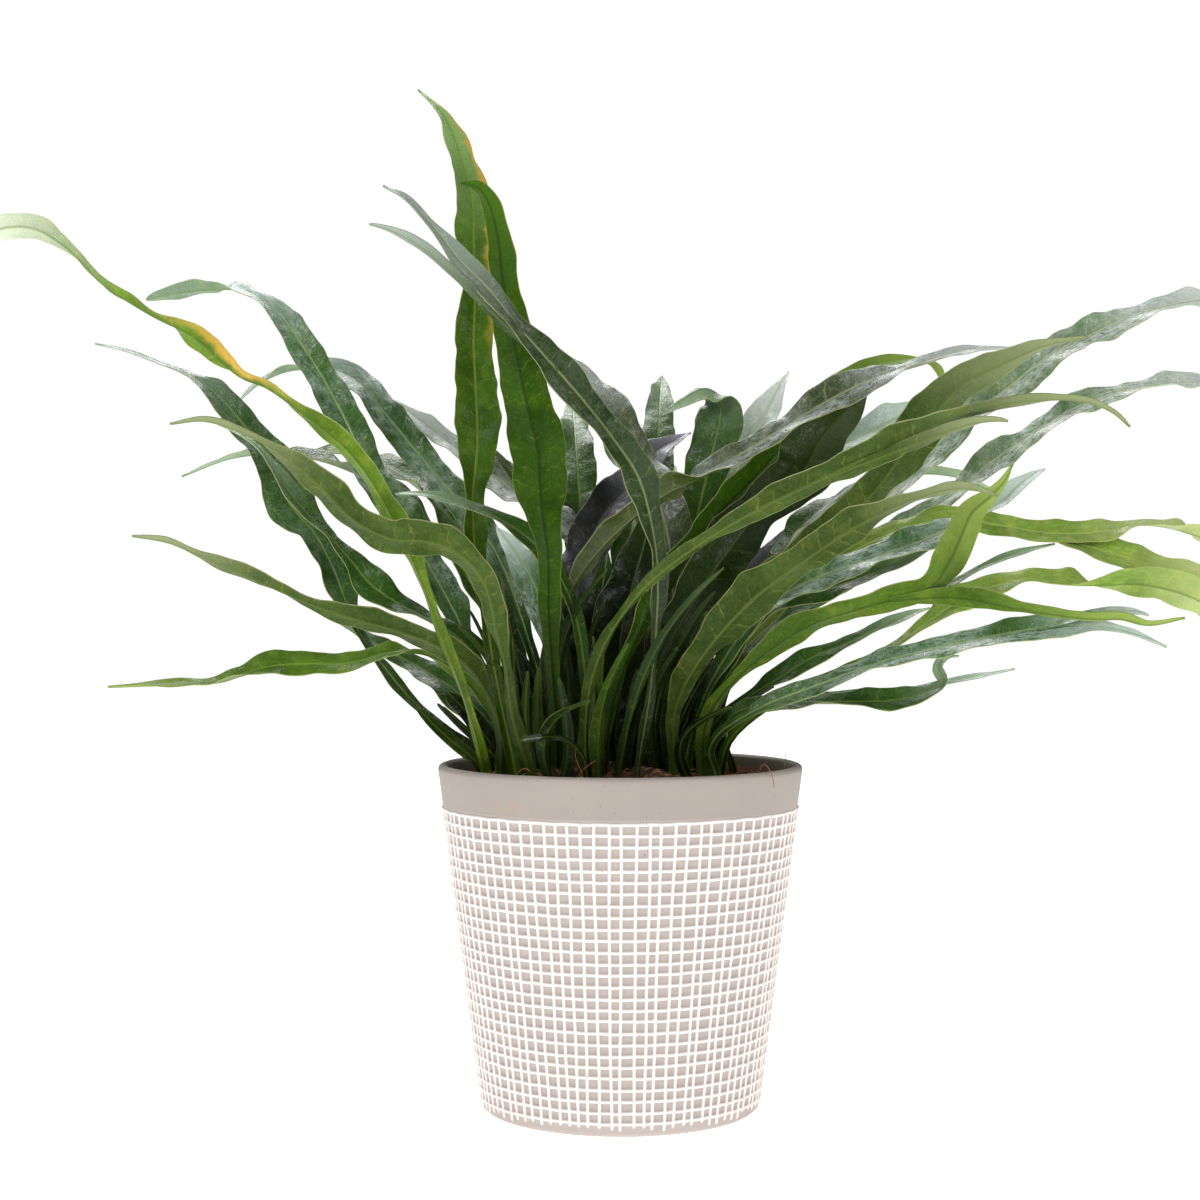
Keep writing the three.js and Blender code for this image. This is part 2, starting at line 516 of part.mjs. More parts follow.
// Soil
function soilLevel(x, y) {
  const reach = Math.hypot(x, y) / (POT.rimRadius - POT.wall);
  const lumps = Math.sin(0.21 * x + 1.3) * Math.sin(0.17 * y) + 0.6 * Math.sin(0.43 * x - 0.31 * y);
  return SOIL.wallLevel + SOIL.heap * (1 - reach * reach) + SOIL.lump * lumps * (1 - reach ** 4);
}

function soilGeometry() {
  const skin = new Skin();
  const low = POT.floor + SOIL.gap;
  const reach = potRadius(SOIL.wallLevel) - POT.wall - SOIL.gap;
  const bottom = ringOf(potRadius(low) - POT.wall - SOIL.gap, low, SOIL.columns);
  closeWithFan(skin, new THREE.Vector3(0, 0, low), bottom, false);
  let outer = bottom;
  for (let k = SOIL.rings; k > 0; k -= 1) {
    const ring = ringOf((reach * k) / SOIL.rings, 0, SOIL.columns);
    ring.forEach((corner) => corner.setZ(soilLevel(corner.x, corner.y)));
    joinRings(skin, outer, ring);
    outer = ring;
  }
  closeWithFan(skin, new THREE.Vector3(0, 0, soilLevel(0, 0)), outer, true);
  return skin.geometry();
}

// Rhizome
function rhizomeBranch(stations, extra) {
  const points = stations.map(([x, y]) => new THREE.Vector3(x, y, soilLevel(x, y) - RHIZOME.sunk));
  const curve = new THREE.CatmullRomCurve3(points);
  const steps = Math.round(curve.getLength() / RHIZOME.step);
  const up = new THREE.Vector3(0, 0, 1);
  const rings = [];
  for (let k = 0; k <= steps; k += 1) {
    const share = k / steps;
    const thin = smooth(share, 0, 0.12) * (1 - smooth(share, 0.8, 1));
    const radius = mix(RHIZOME.tipRadius, RHIZOME.radius, thin) + extra;
    const centre = curve.getPointAt(share);
    const tangent = curve.getTangentAt(share);
    const side = new THREE.Vector3().crossVectors(tangent, up).normalize();
    const rise = new THREE.Vector3().crossVectors(side, tangent);
    rings.push(Array.from({ length: RHIZOME.sides }, (_, i) => {
      const angle = (2 * Math.PI * (i + 0.5)) / RHIZOME.sides;
      return centre.clone()
        .addScaledVector(side, radius * Math.sin(angle))
        .addScaledVector(rise, radius * Math.cos(angle));
    }));
  }
  return solid(loft(rings));
}

function rhizomeSolid(extra) {
  return RHIZOME_BRANCHES
    .map((stations) => rhizomeBranch(stations, extra))
    .reduce((whole, branch) => whole.add(branch));
}

// Fronds
// A point of the picture, at a chosen depth behind the middle of the pot
function seen(across, down, depth) {
  const reach = (depth - EYE.y) / PICTURE.focal;
  return new THREE.Vector3(
    EYE.x + (across - PICTURE.middle) * reach,
    depth,
    EYE.z - (down - PICTURE.middle) * reach,
  );
}

function footPoints([x, y]) {
  const level = soilLevel(x, y);
  return [new THREE.Vector3(x, y, level - HOLE.foot), new THREE.Vector3(x, y, level + HOLE.straight)];
}

// The way the upper face looks: a turn of 0 faces the eye, of 90 faces up or out, of 180 away
function facing(tangent, turn, side) {
  const towardsEye = new THREE.Vector3(0, -1, 0);
  const across = new THREE.Vector3().crossVectors(tangent, towardsEye).normalize();
  const front = new THREE.Vector3().crossVectors(across, tangent);
  const angle = THREE.MathUtils.degToRad(turn);
  return front.multiplyScalar(Math.cos(angle)).addScaledVector(across, side * Math.sin(angle));
}

// Widths run smoothly through their points as the blade's middle line does
function widthCurve(widths) {
  const points = widths.map((width) => new THREE.Vector3(width, 0, 0));
  return new THREE.CatmullRomCurve3(points, false, "catmullrom");
}

function tracedLine(start, trace) {
  const points = [...start, ...trace.map(([across, down, depth]) => seen(across, down, depth))];
  const curve = new THREE.CatmullRomCurve3(points);
  const side = points.at(-1).x < points[0].x ? 1 : -1;
  const entry = (k) => trace[Math.max(k - start.length, 0)];
  const normals = points.map((_, k) =>
    facing(curve.getTangent(k / (points.length - 1)), entry(k)[3], side));
  const widths = points.map((_, k) => (k < start.length ? Math.min(BLADE.stalk, entry(k)[4]) : entry(k)[4]));
  return { curve, normals, widths: widthCurve(widths) };
}

// The width of a ruled frond, from the foot at 0 to the tip at 1
function ruledWidth(share, greatest) {
  const swelling = Math.sin(Math.PI * Math.min(1, share ** 1.3)) ** 0.8;
  const stalk = BLADE.stalk * (1 - smooth(share, 0.8, 1));
  return Math.max(greatest * swelling, stalk);
}

function ruledLine(foot, greatest, [heading, climb, length, climbAtTip, swing]) {
  const steps = 9;
  const points = footPoints(foot);
  const normals = [];
  const spot = points[1].clone();
  for (let k = 0; k < steps; k += 1) {
    const share = (k + 0.5) / steps;
    const turn = THREE.MathUtils.degToRad(heading + swing * share);
    const rise = THREE.MathUtils.degToRad(mix(climb, climbAtTip, share ** 1.4));
    const ahead = new THREE.Vector3(Math.cos(turn), Math.sin(turn), 0);
    spot.addScaledVector(ahead, (length / steps) * Math.cos(rise));
    spot.z += (length / steps) * Math.sin(rise);
    points.push(spot.clone());
    normals.push(ahead.multiplyScalar(-Math.sin(rise)).setZ(Math.cos(rise)));
  }
  normals.unshift(normals[0], normals[0]);
  const widths = points.map((_, k) => ruledWidth(Math.max(k - 1, 0) / steps, greatest));
  return { curve: new THREE.CatmullRomCurve3(points), normals, widths: widthCurve(widths) };
}

function frameAt({ curve, normals, widths }, share) {
  const centre = curve.getPointAt(share);
  const tangent = curve.getTangentAt(share);
  const place = curve.getUtoTmapping(share) * (normals.length - 1);
  const before = Math.min(Math.floor(place), normals.length - 2);
  const normal = normals[before].clone().lerp(normals[before + 1], smooth(place - before, 0, 1));
  normal.addScaledVector(tangent, -normal.dot(tangent)).normalize();
  const left = new THREE.Vector3().crossVectors(normal, tangent);
  const width = widths.getPoint(place / (normals.length - 1)).x;
  return { centre, normal, left, halfWidth: Math.max(width / 2, BLADE.tip) };
}

// One section of a blade: rib, right edge, right edge below, rib below, left edge below, left edge
function bladeSection({ centre, normal, left, halfWidth }, ribBelow, lift) {
  const spread = halfWidth * Math.cos(BLADE.fold);
  const rise = halfWidth * Math.sin(BLADE.fold);
  const corner = (across, up) =>
    centre.clone().addScaledVector(left, across).addScaledVector(normal, up);
  return [
    corner(0, BLADE.ribAbove),
    corner(-spread, rise + lift.right + BLADE.edge),
    corner(-spread, rise + lift.right - BLADE.edge),
    corner(0, -ribBelow),
    corner(spread, rise + lift.left - BLADE.edge),
    corner(spread, rise + lift.left + BLADE.edge),
  ];
}

function bladeGeometry(line, waves) {
  const length = line.curve.getLength();
  const count = Math.max(5, Math.round(length / BLADE.segment));
  const rings = [];
  for (let k = 0; k <= count; k += 1) {
    const share = k / count;
    const frame = frameAt(line, share);
    const swell = BLADE.wave * frame.halfWidth * waves.strength * (1 - smooth(share, 0.85, 1));
    const phase = (2 * Math.PI * share * length) / BLADE.waveLength + waves.start;
    const lift = { left: swell * Math.sin(phase), right: swell * Math.sin(phase + 2.2) };
    rings.push(bladeSection(frame, mix(BLADE.ribBelow, BLADE.edge, share), lift));
  }
  const topAndBottomAlike = [2, 5];
  return loft(rings, topAndBottomAlike);
}

function frondGeometry(name, line, index) {
  const main = bladeGeometry(line, { strength: 1, start: 1.7 * index });
  const forks = FORKS.filter(([frond]) => frond === name);
  if (forks.length === 0) return main;
  const whole = forks.reduce((body, [, share, trace]) => {
    const prong = tracedLine([line.curve.getPointAt(share)], trace);
    return body.add(solid(bladeGeometry(prong, { strength: 0.5, start: index })));
  }, solid(main));
  return surface(whole);
}

// Assembly
const MATERIALS = {
  glaze: new THREE.MeshStandardMaterial({ color: 0xc4b7af, roughness: 0.35, metalness: 0 }),
  soil: new THREE.MeshStandardMaterial({ color: 0x4a2d1e, roughness: 0.95, metalness: 0 }),
  rhizome: new THREE.MeshStandardMaterial({ color: 0x5a4028, roughness: 0.9, metalness: 0 }),
  leaf: new THREE.MeshStandardMaterial({ color: 0x3f6122, roughness: 0.45, metalness: 0 }),
  youngLeaf: new THREE.MeshStandardMaterial({ color: 0x8fb83a, roughness: 0.45, metalness: 0 }),
};

const plant = new THREE.Group();

function place(name, geometry, material) {
  const mesh = new THREE.Mesh(geometry, material);
  mesh.name = name;
  plant.add(mesh);
}

const rows = [...FRONDS, ...RULED_FRONDS];

function stalkHoles() {
  return rows.map(([, foot]) => {
    const level = soilLevel(...foot);
    const box = new THREE.BoxGeometry(HOLE.width, HOLE.width, 2 * HOLE.depth);
    box.translate(foot[0], foot[1], level);
    return solid(box);
  }).reduce((all, hole) => all.add(hole));
}

const holes = stalkHoles();
const bed = largest(solid(soilGeometry()).subtract(rhizomeSolid(RHIZOME.gap)).subtract(holes));
place("pot", potGeometry(), MATERIALS.glaze);
place("soil", surface(bed), MATERIALS.soil);
place("rhizome", surface(largest(rhizomeSolid(0).subtract(holes))), MATERIALS.rhizome);

const traced = FRONDS.map(([name, foot, trace]) => [name, tracedLine(footPoints(foot), trace)]);
const ruled = RULED_FRONDS.map(([name, foot, width, way]) => [name, ruledLine(foot, width, way)]);
[...traced, ...ruled].forEach(([name, line], index) => {
  const material = YOUNG_FRONDS.includes(name) ? MATERIALS.youngLeaf : MATERIALS.leaf;
  place(`frond_${name}`, frondGeometry(name, line, index), material);
});

export default plant;
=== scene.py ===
# %% [markdown]
# # A potted strap-leaf fern
# The real object is a fern with long, wavy, strap-shaped fronds. They grow from a creeping
# rhizome in a conical stoneware pot with a raised net of white beads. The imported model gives
# its sizes and places. This lesson dresses each of its parts with a finer mesh and a finish.
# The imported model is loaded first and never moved, so that everything stays in one frame.

# %% Load the frame
import math

import bpy
import numpy as np
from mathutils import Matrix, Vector


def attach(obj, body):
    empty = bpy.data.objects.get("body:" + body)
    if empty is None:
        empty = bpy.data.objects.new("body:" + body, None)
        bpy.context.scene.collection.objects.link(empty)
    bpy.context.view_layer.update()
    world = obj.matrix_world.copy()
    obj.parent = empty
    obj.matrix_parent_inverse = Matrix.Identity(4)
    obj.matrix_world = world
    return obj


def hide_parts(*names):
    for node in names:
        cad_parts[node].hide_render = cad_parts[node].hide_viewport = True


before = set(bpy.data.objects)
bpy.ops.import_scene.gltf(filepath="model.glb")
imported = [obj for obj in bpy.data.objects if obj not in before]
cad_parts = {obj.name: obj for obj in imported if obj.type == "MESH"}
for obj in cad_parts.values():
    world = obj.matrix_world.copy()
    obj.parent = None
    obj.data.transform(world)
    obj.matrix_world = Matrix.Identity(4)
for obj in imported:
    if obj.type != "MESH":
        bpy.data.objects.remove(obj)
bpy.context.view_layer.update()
MM = 0.001
print("nodes in the frame:", len(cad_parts))

# %% [markdown]
# ## The camera
# The photograph was taken from about 0.88 m in front of the pot, a little above the rim, with
# a level camera. A camera could be aimed by eye, but the traces of the fronds further down are
# pixels of that photograph, so the eye and the focal length are written once and used for both.
# The focal length in pixels over the picture's width gives the lens for a 36 mm sensor.

# %% Camera
EYE = np.array([-8.3, -877.0, 208.3])
PICTURE_WIDTH = 1200
PICTURE_MIDDLE = 600
FOCAL_PIXELS = 2131
LEANS_DOWN = math.radians(0.083)
SENSOR_WIDTH = 36.0

camera_data = bpy.data.cameras.new("photo_camera")
camera_data.sensor_width = SENSOR_WIDTH
camera_data.lens = SENSOR_WIDTH * FOCAL_PIXELS / PICTURE_WIDTH
camera = bpy.data.objects.new("photo_camera", camera_data)
camera.location = Vector(EYE * MM)
camera.rotation_euler = (math.pi / 2 - LEANS_DOWN, 0, 0)
bpy.context.scene.collection.objects.link(camera)
bpy.context.scene.camera = camera
print(f"lens {camera_data.lens:.1f} mm")

# %% [markdown]
# ## Sky and lamps
# The real pot stands on a white table in a bright studio, so bright that the table shows no
# edge. A paper sheet that curves up behind the object would be the studio's way, but seen from
# above it would show its curve. So a plain floor and an even sky do the same from every side.
# A sky that bright would also fill each shadow and veil the leaves with its mirror image, and
# they would look flat and chalky. So rays from the eye see it white, it lights the object only
# dimly, and its mirror image is nearly black, as if dark cards stood around. Three large soft
# lamps do the rest: they give the leaves their sheen and leave the inside of the clump dark.

# %% Sky
SKY_SEEN = 1.05
SKY_LIGHT = 0.3
SKY_MIRRORED = 0.05

scene = bpy.context.scene
scene.view_settings.view_transform = "Standard"
world = bpy.data.worlds.new("white_studio")
world.use_nodes = True
scene.world = world
print("sky seen", SKY_SEEN, "and as a light", SKY_LIGHT)

# %% Lamps
# Name, place in m, width in m, watts
LAMPS = [
    ("left_lamp", (-1.2, -1.3, 1.3), 0.9, 12.5),
    ("right_lamp", (1.2, -1.3, 1.2), 0.9, 10.5),
    ("rear_lamp", (-0.2, 1.2, 1.7), 1.2, 20.0),
]
LAMPS_AIM_AT = Vector((0.0, 0.0, 0.2))


def soft_lamp(name, place, size, watts):
    data = bpy.data.lights.new(name, "AREA")
    data.shape = "DISK"
    data.size = size
    data.energy = watts
    lamp = bpy.data.objects.new(name, data)
    lamp.location = place
    lamp.rotation_euler = (LAMPS_AIM_AT - Vector(place)).to_track_quat("-Z", "Y").to_euler()
    scene.collection.objects.link(lamp)


for lamp_row in LAMPS:
    soft_lamp(*lamp_row)
print("lamps:", [row[0] for row in LAMPS])

# %% [markdown]
# ## Small tools for shader nodes
# Every finish below is a pattern worked out by nodes: no picture is read from disk. Wiring
# nodes by hand takes many lines, so small helpers do it. One fills or links the sockets of a
# node and one adds a node. The others do sums, mix colours and turn a value into a soft step.

# %% Node helpers
def fill_sockets(tree, node, sockets):
    """Fills a node's inputs. sockets maps a name or number to a value or another's output."""
    for key, value in sockets.items():
        if isinstance(value, bpy.types.NodeSocket):
            tree.links.new(value, node.inputs[key])
        else:
            node.inputs[key].default_value = value


def add_node(tree, kind, sockets=(), **settings):
    node = tree.nodes.new(kind)
    for key, value in settings.items():
        setattr(node, key, value)
    fill_sockets(tree, node, dict(sockets))
    return node


def calc(tree, operation, first, second=0.0, third=0.0):
    sockets = {0: first, 1: second, 2: third}
    return add_node(tree, "ShaderNodeMath", sockets, operation=operation).outputs[0]


def times(tree, first, second):
    return calc(tree, "MULTIPLY", first, second)


def times_plus(tree, first, second, third):
    """The first value times the second, plus the third."""
    return calc(tree, "MULTIPLY_ADD", first, second, third)


def blend(tree, share, colour, other, mode="MIX"):
    """Mixes two colours. Among the node's many sockets theirs are 6 and 7, and 2 comes out."""
    sockets = {0: share, 6: colour, 7: other}
    settings = {"data_type": "RGBA", "blend_type": mode}
    return add_node(tree, "ShaderNodeMix", sockets, **settings).outputs[2]


def tinted(tree, colour, red, green, blue):
    """The colour with each of its three parts multiplied by a number."""
    return blend(tree, 1.0, colour, (red, green, blue, 1.0), "MULTIPLY")


def step(tree, value, low, high):
    """0 below low, 1 above high and a smooth rise between. With low above high it falls."""
    sockets = {"Value": value, 1: low, 2: high, 3: 0.0, 4: 1.0}
    if low > high:
        sockets.update({1: high, 2: low, 3: 1.0, 4: 0.0})
    settings = {"interpolation_type": "SMOOTHSTEP"}
    return add_node(tree, "ShaderNodeMapRange", sockets, **settings).outputs[0]


# %% Helpers for patterns and whole materials
WHITE = (1.0, 1.0, 1.0, 1.0)


def srgb(red, green, blue):
    """A colour as seen on a screen, 0 to 255, as the linear colour that shaders want."""
    def linear(value):
        """The screen's standard curve, with its own fixed numbers."""
        share = value / 255
        return share / 12.92 if share <= 0.04045 else ((share + 0.055) / 1.055) ** 2.4
    return (linear(red), linear(green), linear(blue), 1.0)


def speckle(tree, size_mm, detail=2.0, place=None):
    """Cloudy noise from 0 to 1 whose blots are about size_mm wide."""
    where = place or add_node(tree, "ShaderNodeTexCoord").outputs["Object"]
    sockets = {"Vector": where, "Scale": 1 / (size_mm * MM), "Detail": detail}
    return add_node(tree, "ShaderNodeTexNoise", sockets).outputs[0]


def measured(tree, name):
    """A number that the mesh carries for each of its points."""
    return add_node(tree, "ShaderNodeAttribute", attribute_name=name).outputs["Fac"]


def raised(tree, height, depth_mm):
    """A bump of that depth from a height between 0 and 1."""
    sockets = {"Strength": 1.0, "Distance": depth_mm * MM, "Height": height}
    return add_node(tree, "ShaderNodeBump", sockets).outputs[0]


def height_of(tree, vector):
    return add_node(tree, "ShaderNodeSeparateXYZ", {0: vector}).outputs[2]


def new_material(name):
    material = bpy.data.materials.new(name)
    material.use_nodes = True
    tree = material.node_tree
    return material, tree, tree.nodes["Principled BSDF"]


print("white is", srgb(255, 255, 255)[:3], "for shaders")

# %% Light of the sky
def strength_by_ray(tree, seen, mirrored, lighting):
    """One strength for rays from the eye, one for mirror images and one for all other rays."""
    ray = add_node(tree, "ShaderNodeLightPath").outputs
    strength = times_plus(tree, ray["Is Camera Ray"], seen - lighting, lighting)
    return times_plus(tree, ray["Is Glossy Ray"], mirrored - lighting, strength)


sky_tree = world.node_tree
sky_strength = strength_by_ray(sky_tree, SKY_SEEN, SKY_MIRRORED, SKY_LIGHT)
fill_sockets(sky_tree, sky_tree.nodes["Background"], {"Color": WHITE, "Strength": sky_strength})
print("sky wired")

# %% [markdown]
# ## The table
# The real table is plain white: only a thin dark line shows where the pot's foot meets it. A
# glossy sheet would mirror the pot, which the photograph hardly shows. So it is one plain dull
# square, wide enough that its edge stays out of sight. Like the sky, it has one strength for
# the eye, one for mirror images and one for the light that it sends up to the leaves.

# %% The floor
FLOOR_SIZE = 60.0
FLOOR_GLOW = 0.78
FLOOR_LIGHT = 1.05
FLOOR_MIRRORED = 0.12
FLOOR_GRAIN = 3.0
FLOOR_ROUGHNESS = 0.9
FLOOR_DARKER, FLOOR_LIGHTER = srgb(252, 251, 249), srgb(255, 254, 252)

floor_material, floor_tree, floor_shader = new_material("white_table")
fill_sockets(floor_tree, floor_shader, {
    "Emission Color": WHITE,
    "Emission Strength": strength_by_ray(floor_tree, FLOOR_GLOW, FLOOR_MIRRORED, FLOOR_LIGHT),
    "Roughness": FLOOR_ROUGHNESS,
    "Base Color": blend(floor_tree, speckle(floor_tree, FLOOR_GRAIN), FLOOR_DARKER, FLOOR_LIGHTER),
})
half_floor = FLOOR_SIZE / 2
floor_corners = [(-half_floor, -half_floor, 0), (half_floor, -half_floor, 0),
                 (half_floor, half_floor, 0), (-half_floor, half_floor, 0)]
floor_mesh = bpy.data.meshes.new("floor")
floor_mesh.from_pydata(floor_corners, [], [(0, 1, 2, 3)])
floor_mesh.materials.append(floor_material)
floor = bpy.data.objects.new("floor", floor_mesh)
scene.collection.objects.link(floor)
print("floor", FLOOR_SIZE, "m wide")

# %% [markdown]
# ## Small tools for meshes
# Nearly every piece here is a skin over rings of points: a pot wall, a branch or a leaf blade.
# Modifiers could thicken and bend simple strips, but rings worked out by a formula keep each
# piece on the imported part's own surface and let a point carry what its finish needs to know,
# such as how far it lies from the rib. Each skin gets its two ends capped, and one piece may
# be made of several skins.

# %% Steps and directions
def smooth_step(value, low, high):
    share = np.clip((value - low) / (high - low), 0, 1)
    return share * share * (3 - 2 * share)


def normalised(vectors):
    return vectors / np.linalg.norm(vectors, axis=-1, keepdims=True)


print("halfway up a smooth step:", smooth_step(0.5, 0, 1))

# %% Faces of a skin
def ring_faces(rings, around):
    """Four-sided faces that join neighbouring rings of points, and a cap on each end."""
    ring, spot = np.meshgrid(np.arange(rings - 1), np.arange(around), indexing="ij")
    after = (spot + 1) % around
    corners = (ring * around + spot, ring * around + after,
               (ring + 1) * around + after, (ring + 1) * around + spot)
    faces = np.stack(corners, axis=-1).reshape(-1, 4).tolist()
    faces.append(list(range(around))[::-1])
    faces.append(list(range((rings - 1) * around, rings * around)))
    return faces


def join_skins(skins):
    """Points, faces and measures of one or more skins as one mesh."""
    faces, already = [], 0
    for points, _ in skins:
        rings, around = points.shape[:2]
        faces += [[already + corner for corner in face] for face in ring_faces(rings, around)]
        already += rings * around
    measures = {label: np.concatenate([own[label].ravel() for _, own in skins])
                for label in skins[0][1]}
    return np.vstack([points.reshape(-1, 3) for points, _ in skins]), faces, measures


print("a tube of 3 rings with 4 sides has", len(ring_faces(3, 4)), "faces")

# %% Pieces in the frame
def make_piece(name, skins, material, node=None):
    """A smooth mesh object in the frame. A skin is its rings of points in mm and its measures,
    each of which gives one number for every point."""
    points, faces, measures = join_skins(skins)
    mesh = bpy.data.meshes.new(name)
    mesh.from_pydata((points * MM).tolist(), [], faces)
    for label, values in measures.items():
        attribute = mesh.attributes.new(label, "FLOAT", "POINT")
        attribute.data.foreach_set("value", values.astype(np.float32))
    mesh.polygons.foreach_set("use_smooth", [True] * len(mesh.polygons))
    mesh.update()
    mesh.materials.append(material)
    piece = bpy.data.objects.new(name, mesh)
    scene.collection.objects.link(piece)
    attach(piece, "root")
    if node:
        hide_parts(node)
    return piece


# %% [markdown]
# ## The pot
# The real pot is one piece of grey glazed stoneware: a straight cone with a rounded rim, a
# plain band below it and a net of thin white beads, laid on by hand, 27 lines high and 88
# columns around. A flat wall with a bump pattern would look painted from the side. A fine even
# grid would cut across the beads and fray them. So each line of beads gets its own five rows
# of points, which wander with it: two at its edges, two on its back and one in the middle of
# the cell. The same points carry how much of a bead they are, for the colour.

# %% Pot sizes
RIM_RADIUS = 75.0
FOOT_RADIUS = 56.8
POT_HEIGHT = 140.0
POT_WALL = 4.5
RIM_ROUND = 2.25
FOOT_BEVEL = 1.2
NET_COLUMNS = 88
NET_LINES = 27
NET_LOW, NET_HIGH = 5.2, 122.2
WEAKEST_SWING = 0.3
SEED = 27
random = np.random.default_rng(SEED)


def pot_radius(height):
    return FOOT_RADIUS + (RIM_RADIUS - FOOT_RADIUS) * height / POT_HEIGHT


def wander(where, count, waves, size):
    """Slow random swings, one set for each of count lines, at the places in where."""
    swing = np.zeros((count, np.size(where)))
    for wave in waves:
        phase = random.uniform(0, 2 * math.pi, (count, 1))
        strength = random.uniform(WEAKEST_SWING, 1.0, (count, 1))
        swing += strength * np.sin(wave * np.reshape(where, (1, -1)) + phase)
    return size * swing / len(waves)


print(f"bead columns {2 * math.pi * RIM_RADIUS / NET_COLUMNS:.1f} mm apart at the rim")

# %% Places of the bead lines
BEAD_HALF = 0.74
BEAD_BACK = 0.4
LINE_PITCH = (NET_HIGH - NET_LOW) / (NET_LINES - 1)
LINE_SHIFT = 0.25
COLUMN_SHIFT = 0.13
# Each bead line owns five rows: its two edges, its back twice, and the middle of the next cell
BEAD_ROWS = [(-BEAD_HALF, 0.0), (-BEAD_BACK, 1.0), (BEAD_BACK, 1.0), (BEAD_HALF, 0.0)]

line_heights = NET_LOW + LINE_PITCH * np.arange(NET_LINES)
line_heights[:-1] += random.uniform(-LINE_SHIFT, LINE_SHIFT, NET_LINES - 1)
column_shifts = random.uniform(-COLUMN_SHIFT, COLUMN_SHIFT, NET_COLUMNS)
column_turns = 2 * math.pi * (np.arange(NET_COLUMNS) + column_shifts) / NET_COLUMNS
rows_in_pitch = len(BEAD_ROWS) + 1
net_rows = NET_LINES * rows_in_pitch
net_columns = NET_COLUMNS * rows_in_pitch
print("net points:", net_rows, "x", net_columns)

# %% Heights and turns of every net point
IN_CELL = 0.5
LAST_CELL = 2.4
# Waves on the way around or down, and the size of the swing in mm
LINE_SWINGS, LINE_TREMBLE = [(2, 3, 5), 0.34], [(31, 44), 0.16]
COLUMN_SWINGS = [(3, 7, 16), 0.6]


def with_cells(lines, following, offsets):
    """The five rows of each bead line, one after the other."""
    rows = [lines + offset for offset in offsets]
    rows.append(lines + IN_CELL * (following - lines))
    return np.stack(rows, axis=1).reshape(len(lines) * rows_in_pitch, -1)


def net_heights():
    """Five rows for each line of beads, waving a little on their way around the pot."""
    around = np.arange(net_columns) * 2 * math.pi / net_columns
    lines = line_heights[:, None] + wander(around, NET_LINES, *LINE_SWINGS)
    lines += wander(around, NET_LINES, *LINE_TREMBLE)
    following = np.vstack([lines[1:], lines[-1:] + LAST_CELL])
    return with_cells(lines, following, [offset for offset, _ in BEAD_ROWS])


def net_turns(heights):
    """Five columns for each upright line of beads, leaning a little on their way down."""
    radius = pot_radius(heights)
    lines = column_turns[:, None]
    lines = lines + wander(heights / POT_HEIGHT, NET_COLUMNS, *COLUMN_SWINGS) / radius
    following = np.vstack([lines[1:], lines[:1] + 2 * math.pi])
    return with_cells(lines, following, [offset / radius for offset, _ in BEAD_ROWS]).T


bead_pattern = np.array([amount for _, amount in BEAD_ROWS] + [0.0])
row_beads = np.tile(bead_pattern, NET_LINES)
column_beads = np.tile(bead_pattern, NET_COLUMNS)
net_z = net_heights()
print("net from", net_z.min().round(1), "to", net_z.max().round(1), "mm")

# %% [markdown]
# The upright beads run on a little below the last line and end at ragged heights, as poured
# slip does. Above the net the wall is plain up to the rim, which is a half circle over the
# wall's thickness. The inside goes down below the soil, where a flat cap closes the skin.

# %% The rest of the wall
FOOT_ROWS = [0.0, 0.5, FOOT_BEVEL, 1.9, 2.6, 3.3]
BAND_ROWS = [125.4, 128.0, 131.0, 134.0, POT_HEIGHT - RIM_ROUND]
RIM_STEPS = 9
INSIDE_ROWS = [134.0, 130.0, 124.0, 116.0]
UPRIGHTS_END = (1.6, 4.2)
ragged_ends = np.repeat(random.uniform(*UPRIGHTS_END, NET_COLUMNS), rows_in_pitch)


def plain_ring(height, inset=0.0):
    """Heights and radii of a plain ring at that height, a little inside the outer wall."""
    return np.full(net_columns, height), np.full(net_columns, pot_radius(height) - inset)


def rim_rings():
    rings = []
    for k in range(1, RIM_STEPS):
        angle = math.pi * k / RIM_STEPS
        height = POT_HEIGHT - RIM_ROUND + RIM_ROUND * math.sin(angle)
        inset = RIM_ROUND * (1 - math.cos(angle))
        rings.append(plain_ring(height, inset))
    return rings


lower_rings = [plain_ring(height, max(0.0, FOOT_BEVEL - height)) for height in FOOT_ROWS]
upper_rings = [plain_ring(height) for height in BAND_ROWS] + rim_rings()
upper_rings += [plain_ring(height, POT_WALL) for height in INSIDE_ROWS]
print("plain rings:", len(lower_rings), "below and", len(upper_rings), "above the net")

# %% Pot skin
BEAD_PROUD = 0.7
BEAD_FULLNESS = 0.85
BEAD_UNEVEN = [(5, 17, 37), 0.3]
END_SOFT = 0.4


def bead_amounts(heights):
    """How much of a bead each point is, 0 to 1: in the net, and on the ends below it."""
    beads = np.zeros_like(heights)
    first = len(lower_rings)
    rows = row_beads[:, None]
    upright = np.tile(column_beads, (net_rows, 1))
    upright[1 - rows_in_pitch:] = 0
    beads[first:first + net_rows] = rows + upright - rows * upright
    ends = smooth_step(heights[:first], ragged_ends - END_SOFT, ragged_ends + END_SOFT)
    beads[:first] = column_beads * ends
    return beads


def pot_skin():
    """All rings from the foot up and over the rim, raised where the beads are."""
    heights = np.vstack([[r[0] for r in lower_rings], net_z, [r[0] for r in upper_rings]])
    net_radii = pot_radius(net_z)
    radii = np.vstack([[r[1] for r in lower_rings], net_radii, [r[1] for r in upper_rings]])
    turns = net_turns(heights[:, 0])
    beads = bead_amounts(heights)
    fullness = BEAD_FULLNESS + wander(turns[0], len(heights), *BEAD_UNEVEN)
    radii = radii + BEAD_PROUD * beads * fullness
    across, back = radii * np.sin(turns), -radii * np.cos(turns)
    return np.stack([across, back, heights], axis=-1), {"bead": beads}


